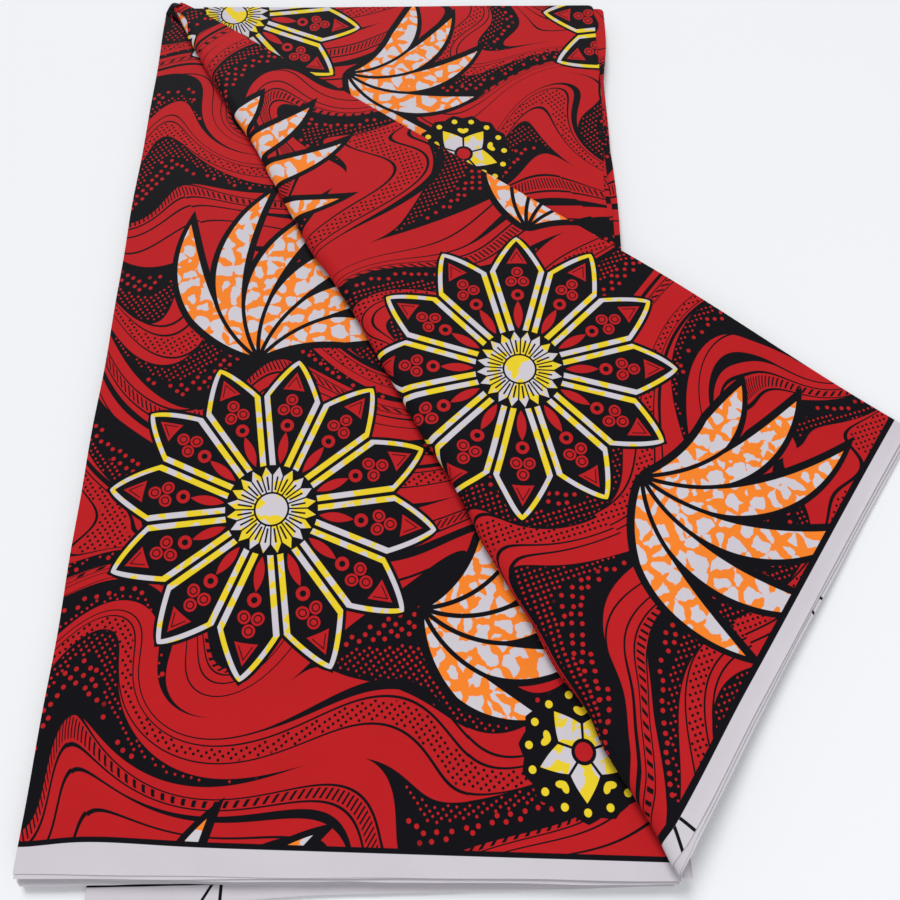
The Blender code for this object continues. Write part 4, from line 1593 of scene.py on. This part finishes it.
def group(name, inputs, outputs):
    """An empty node group with named sockets, and its input and output nodes."""
    tree = bpy.data.node_groups.new(name, "ShaderNodeTree")
    for way, sockets in (("INPUT", inputs), ("OUTPUT", outputs)):
        for socket_name, kind, value in sockets:
            socket = tree.interface.new_socket(name=socket_name, in_out=way, socket_type=kind)
            if value is not None:
                socket.default_value = value
    return tree, new_node(tree, "NodeGroupInput"), new_node(tree, "NodeGroupOutput")


def texture(tree, kind, vector, scale, **settings):
    """A two-dimensional noise or cell texture over the cloth."""
    dimensions = {"noise_dimensions" if kind.endswith("Noise") else "voronoi_dimensions": "2D"}
    inputs = {name: settings.pop(name) for name in list(settings) if name[0].isupper()}
    node = new_node(tree, kind, **dimensions, **settings)
    feed(tree, node.inputs["Vector"], vector)
    node.inputs["Scale"].default_value = scale
    for name, value in inputs.items():
        node.inputs[name].default_value = value
    return node


VECTOR = "NodeSocketVector"
COLOUR = "NodeSocketColor"
NUMBER = "NodeSocketFloat"

# Linear colours of the print and the bare cloth
PRINT_COLOURS = {
    "Red": (0.480, 0.0125, 0.0155, 1.0),
    "Ink": (0.0050, 0.0048, 0.0070, 1.0),
    "Yellow": (0.80, 0.60, 0.026, 1.0),
    "Orange": (0.90, 0.225, 0.024, 1.0),
    "Pale": (0.61, 0.57, 0.62, 1.0),
}

# The patches and the veins of the marbled fills: their scale, and where and how softly they end
MARBLE_SCALE = 95.0
MARBLE_SOFT = 0.03
PATCH_EDGE = 0.50
VEIN_EDGE = 0.16
VEIN_PATCHES = 0.9


def make_print_group():
    """The whole print, as a colour that depends on the place in the cloth."""
    inputs = [("Cloth", VECTOR, None)]
    inputs += [(name, COLOUR, value) for name, value in PRINT_COLOURS.items()]
    tree, start, end = group("wax_print", inputs, [("Colour", COLOUR, None)])
    inks = {name: start.outputs[name] for name in PRINT_COLOURS}
    cloth = start.outputs["Cloth"]
    parts = new_node(tree, "ShaderNodeSeparateXYZ")
    feed(tree, parts.inputs[0], cloth)
    p, q = Amount(parts.outputs[0]) * 1000.0, Amount(parts.outputs[1]) * 1000.0
    colour = paint(inks["Red"], inks["Ink"], flowing_ground(p, q))
    patches = texture(tree, "ShaderNodeTexNoise", cloth, MARBLE_SCALE, Detail=2.0)
    patch = Amount(patches.outputs["Fac"])
    crackle = texture(tree, "ShaderNodeTexVoronoi", cloth, MARBLE_SCALE, feature="DISTANCE_TO_EDGE")
    vein = Amount(crackle.outputs["Distance"]) - VEIN_PATCHES * (patch - PATCH_EDGE)
    light_fill = paint(inks["Yellow"], inks["Pale"], above(patch, PATCH_EDGE, MARBLE_SOFT))
    warm_fill = paint(inks["Orange"], inks["Pale"], above(vein, VEIN_EDGE, MARBLE_SOFT))
    colour = paint_sprays(colour, p, q, inks["Ink"], warm_fill)
    colour = paint_bud(colour, p, q, inks, light_fill)
    colour = paint_rosette(colour, p, q, inks, light_fill)
    colour = paint_border(colour, p, q, inks)
    feed(tree, end.inputs["Colour"], colour)
    return tree


# The weave: from thread to thread, and how much it and two noises change the tone and the height. The
# weave's share of the tone is painted shade, darker in the dips between the threads and lighter on
# their raised crossings
THREAD_PITCH = 0.00034
SLUB_SCALE = 420.0
UNEVEN_SCALE = 26.0
TONE_BASE = 0.93
TONE_UNEVEN = 0.10
WEAVE_PAINTED_SHADE = 0.035
HEIGHT_WEAVE = 0.5


def make_weave_group():
    """A plain weave: warp threads over and under weft threads, as a height, and a tone of random
    unevenness with painted shade in the weave's dips.
    """
    inputs = [("Cloth", VECTOR, None), ("Pitch", NUMBER, THREAD_PITCH)]
    outputs = [("Height", NUMBER, None), ("Tone and shade", NUMBER, None)]
    tree, start, end = group("plain_weave", inputs, outputs)
    parts = new_node(tree, "ShaderNodeSeparateXYZ")
    feed(tree, parts.inputs[0], start.outputs["Cloth"])
    pitch = Amount(start.outputs["Pitch"])
    u = Amount(parts.outputs[0]) / pitch * math.pi
    v = Amount(parts.outputs[1]) / pitch * math.pi
    weave = sine(u) * sine(v)
    slubs = texture(tree, "ShaderNodeTexNoise", start.outputs["Cloth"], SLUB_SCALE, Detail=3.0)
    height = weave * HEIGHT_WEAVE + Amount(slubs.outputs["Fac"])
    feed(tree, end.inputs["Height"], height)
    uneven = texture(tree, "ShaderNodeTexNoise", start.outputs["Cloth"], UNEVEN_SCALE, Detail=4.0)
    # painted shade: the tone follows the weave's height, darker in its dips and lighter on the raised
    # crossings, on top of the random unevenness
    tone = TONE_BASE + TONE_UNEVEN * Amount(uneven.outputs["Fac"]) + WEAVE_PAINTED_SHADE * weave
    feed(tree, end.inputs["Tone and shade"], tone)
    return tree


# How each kind of cloth takes the light
Finish = namedtuple("Finish", "slot roughness sheen specular bump")
PRINTED = Finish("printed_cotton", 0.62, 0.02, 0.05, 0.25)
BARE = Finish("bare_selvedge", 0.75, 0.02, 0.05, 0.35)
SHEEN_ROUGHNESS = 0.45
BUMP_HEIGHT = 0.00012


def cotton_material(finish, print_group, weave_group):
    """Cotton: the print, toned by random unevenness and the weave's painted shade, with a fine bump
    and a soft sheen.
    """
    made = bpy.data.materials.new(finish.slot)
    made.use_nodes = True
    tree = made.node_tree
    shader = tree.nodes["Principled BSDF"]
    cloth = new_node(tree, "ShaderNodeUVMap", uv_map="Cloth")
    weave = new_node(tree, "ShaderNodeGroup", node_tree=weave_group)
    feed(tree, weave.inputs["Cloth"], cloth.outputs["UV"])
    printed = new_node(tree, "ShaderNodeGroup", node_tree=print_group)
    feed(tree, printed.inputs["Cloth"], cloth.outputs["UV"])
    # the print is multiplied by the tone, which holds random unevenness and the weave's painted shade
    toned = new_node(tree, "ShaderNodeMix", data_type="RGBA", blend_type="MULTIPLY")
    toned.inputs[0].default_value = 1.0
    feed(tree, toned.inputs[6], printed.outputs["Colour"])
    feed(tree, toned.inputs[7], weave.outputs["Tone and shade"])
    feed(tree, shader.inputs["Base Color"], toned.outputs[2])
    bump = new_node(tree, "ShaderNodeBump")
    bump.inputs["Strength"].default_value = finish.bump
    bump.inputs["Distance"].default_value = BUMP_HEIGHT
    feed(tree, bump.inputs["Height"], weave.outputs["Height"])
    feed(tree, shader.inputs["Normal"], bump.outputs["Normal"])
    shader.inputs["Roughness"].default_value = finish.roughness
    shader.inputs["Sheen Weight"].default_value = finish.sheen
    shader.inputs["Sheen Roughness"].default_value = SHEEN_ROUGHNESS
    shader.inputs["Specular IOR Level"].default_value = finish.specular
    return made


FLOOR_HALF = 4.0
FLOOR_DROP = 0.0002
FLOOR_COLOUR = (0.845, 0.856, 0.878, 1.0)
FLOOR_ROUGHNESS = 0.7
FLOOR_SPECULAR = 0.2


def make_floor():
    floor = bpy.data.objects.new("floor", bpy.data.meshes.new("floor"))
    bm = bmesh.new()
    bmesh.ops.create_grid(bm, x_segments=1, y_segments=1, size=FLOOR_HALF)
    bm.to_mesh(floor.data)
    bm.free()
    floor.location.z = -FLOOR_DROP
    bpy.context.scene.collection.objects.link(floor)
    made = bpy.data.materials.new("pale_floor")
    made.use_nodes = True
    shader = made.node_tree.nodes["Principled BSDF"]
    shader.inputs["Base Color"].default_value = FLOOR_COLOUR
    shader.inputs["Roughness"].default_value = FLOOR_ROUGHNESS
    shader.inputs["Specular IOR Level"].default_value = FLOOR_SPECULAR
    floor.data.materials.append(made)


SURROUND_COLOUR = (0.97, 0.985, 1.0, 1.0)
SURROUND_STRENGTH = 0.54

# A sun's width is the angle it fills, in radians, and its height isn't used
Lamp = namedtuple("Lamp", "name kind place width height energy")
LAMPS = (
    Lamp("far_light", "SUN", (-0.25, 0.90, 0.95), 0.40, 0.0, 2.0),
    Lamp("near_light", "AREA", (0.60, -1.60, 1.00), 1.2, 1.0, 6.0),
)


def make_lights():
    """An even pale surround, a soft sun beyond the far end, and a weak light at the near right."""
    world = bpy.data.worlds.new("studio")
    world.use_nodes = True
    surround = world.node_tree.nodes["Background"]
    surround.inputs["Color"].default_value = SURROUND_COLOUR
    surround.inputs["Strength"].default_value = SURROUND_STRENGTH
    bpy.context.scene.world = world
    for row in LAMPS:
        light = bpy.data.lights.new(row.name, row.kind)
        light.energy = row.energy
        if row.kind == "SUN":
            light.angle = row.width
        else:
            light.shape = "RECTANGLE"
            light.size = row.width
            light.size_y = row.height
        lamp = bpy.data.objects.new(row.name, light)
        lamp.location = row.place
        lamp.rotation_euler = (-lamp.location).to_track_quat("-Z", "Y").to_euler()
        bpy.context.scene.collection.objects.link(lamp)


# The photograph's view, in the pile's own frame
CAMERA_PLACE = Vector((0.2155, 0.0832, 0.4073))
CAMERA_TILT = math.radians(19.27)
CAMERA_LENS = 28.276
CAMERA_SENSOR = 36.0
CAMERA_CLIP = 0.01


def make_camera():
    camera = bpy.data.objects.new("camera", bpy.data.cameras.new("camera"))
    camera.data.lens = CAMERA_LENS
    camera.data.sensor_width = CAMERA_SENSOR
    camera.data.clip_start = CAMERA_CLIP
    camera.location = PILE_CORNER + CAMERA_PLACE
    camera.rotation_euler = (CAMERA_TILT, 0.0, 0.0)
    bpy.context.scene.collection.objects.link(camera)
    bpy.context.scene.camera = camera


def make_piece(piece, nodes, material):
    """Gives a piece its cloth, hangs it on the root body, and hides the solids that it stands for."""
    piece.data.materials.clear()
    piece.data.materials.append(material)
    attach(piece, "root")
    if nodes:
        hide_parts(*nodes)


def main():
    weave, print_group = make_weave_group(), make_print_group()
    printed = cotton_material(PRINTED, print_group, weave)
    bare = cotton_material(BARE, print_group, weave)
    tree = stack_tree()
    make_piece(hidden_layers(), ["base_pile"], printed)
    make_piece(base_panel(), ["base_panel"], printed)
    make_piece(upper_panel(), ["upper_panel"], printed)
    for sheet in ROLLED_SHEETS[::-1]:
        nodes = ["flap_panel"] if sheet.depth == 0.0 else []
        make_piece(rolled_sheet(sheet), nodes, printed)
    for row, node, lower in zip(INNER_LAYERS, ("flap_lower_layers", "flap_middle_layers"),
                                ("printed_upper_panel", "flap_lower_sheets")):
        make_piece(inner_layers(row, tree, bare), [node], bare)
    make_piece(rolled_tip(), ["corner_curl"], printed)
    for row in SELVEDGES:
        make_piece(selvedge_stack(row, tree, bare), [row.name], bare)
    make_floor()
    make_lights()
    make_camera()
    bpy.context.scene.view_settings.view_transform = "Standard"


main()
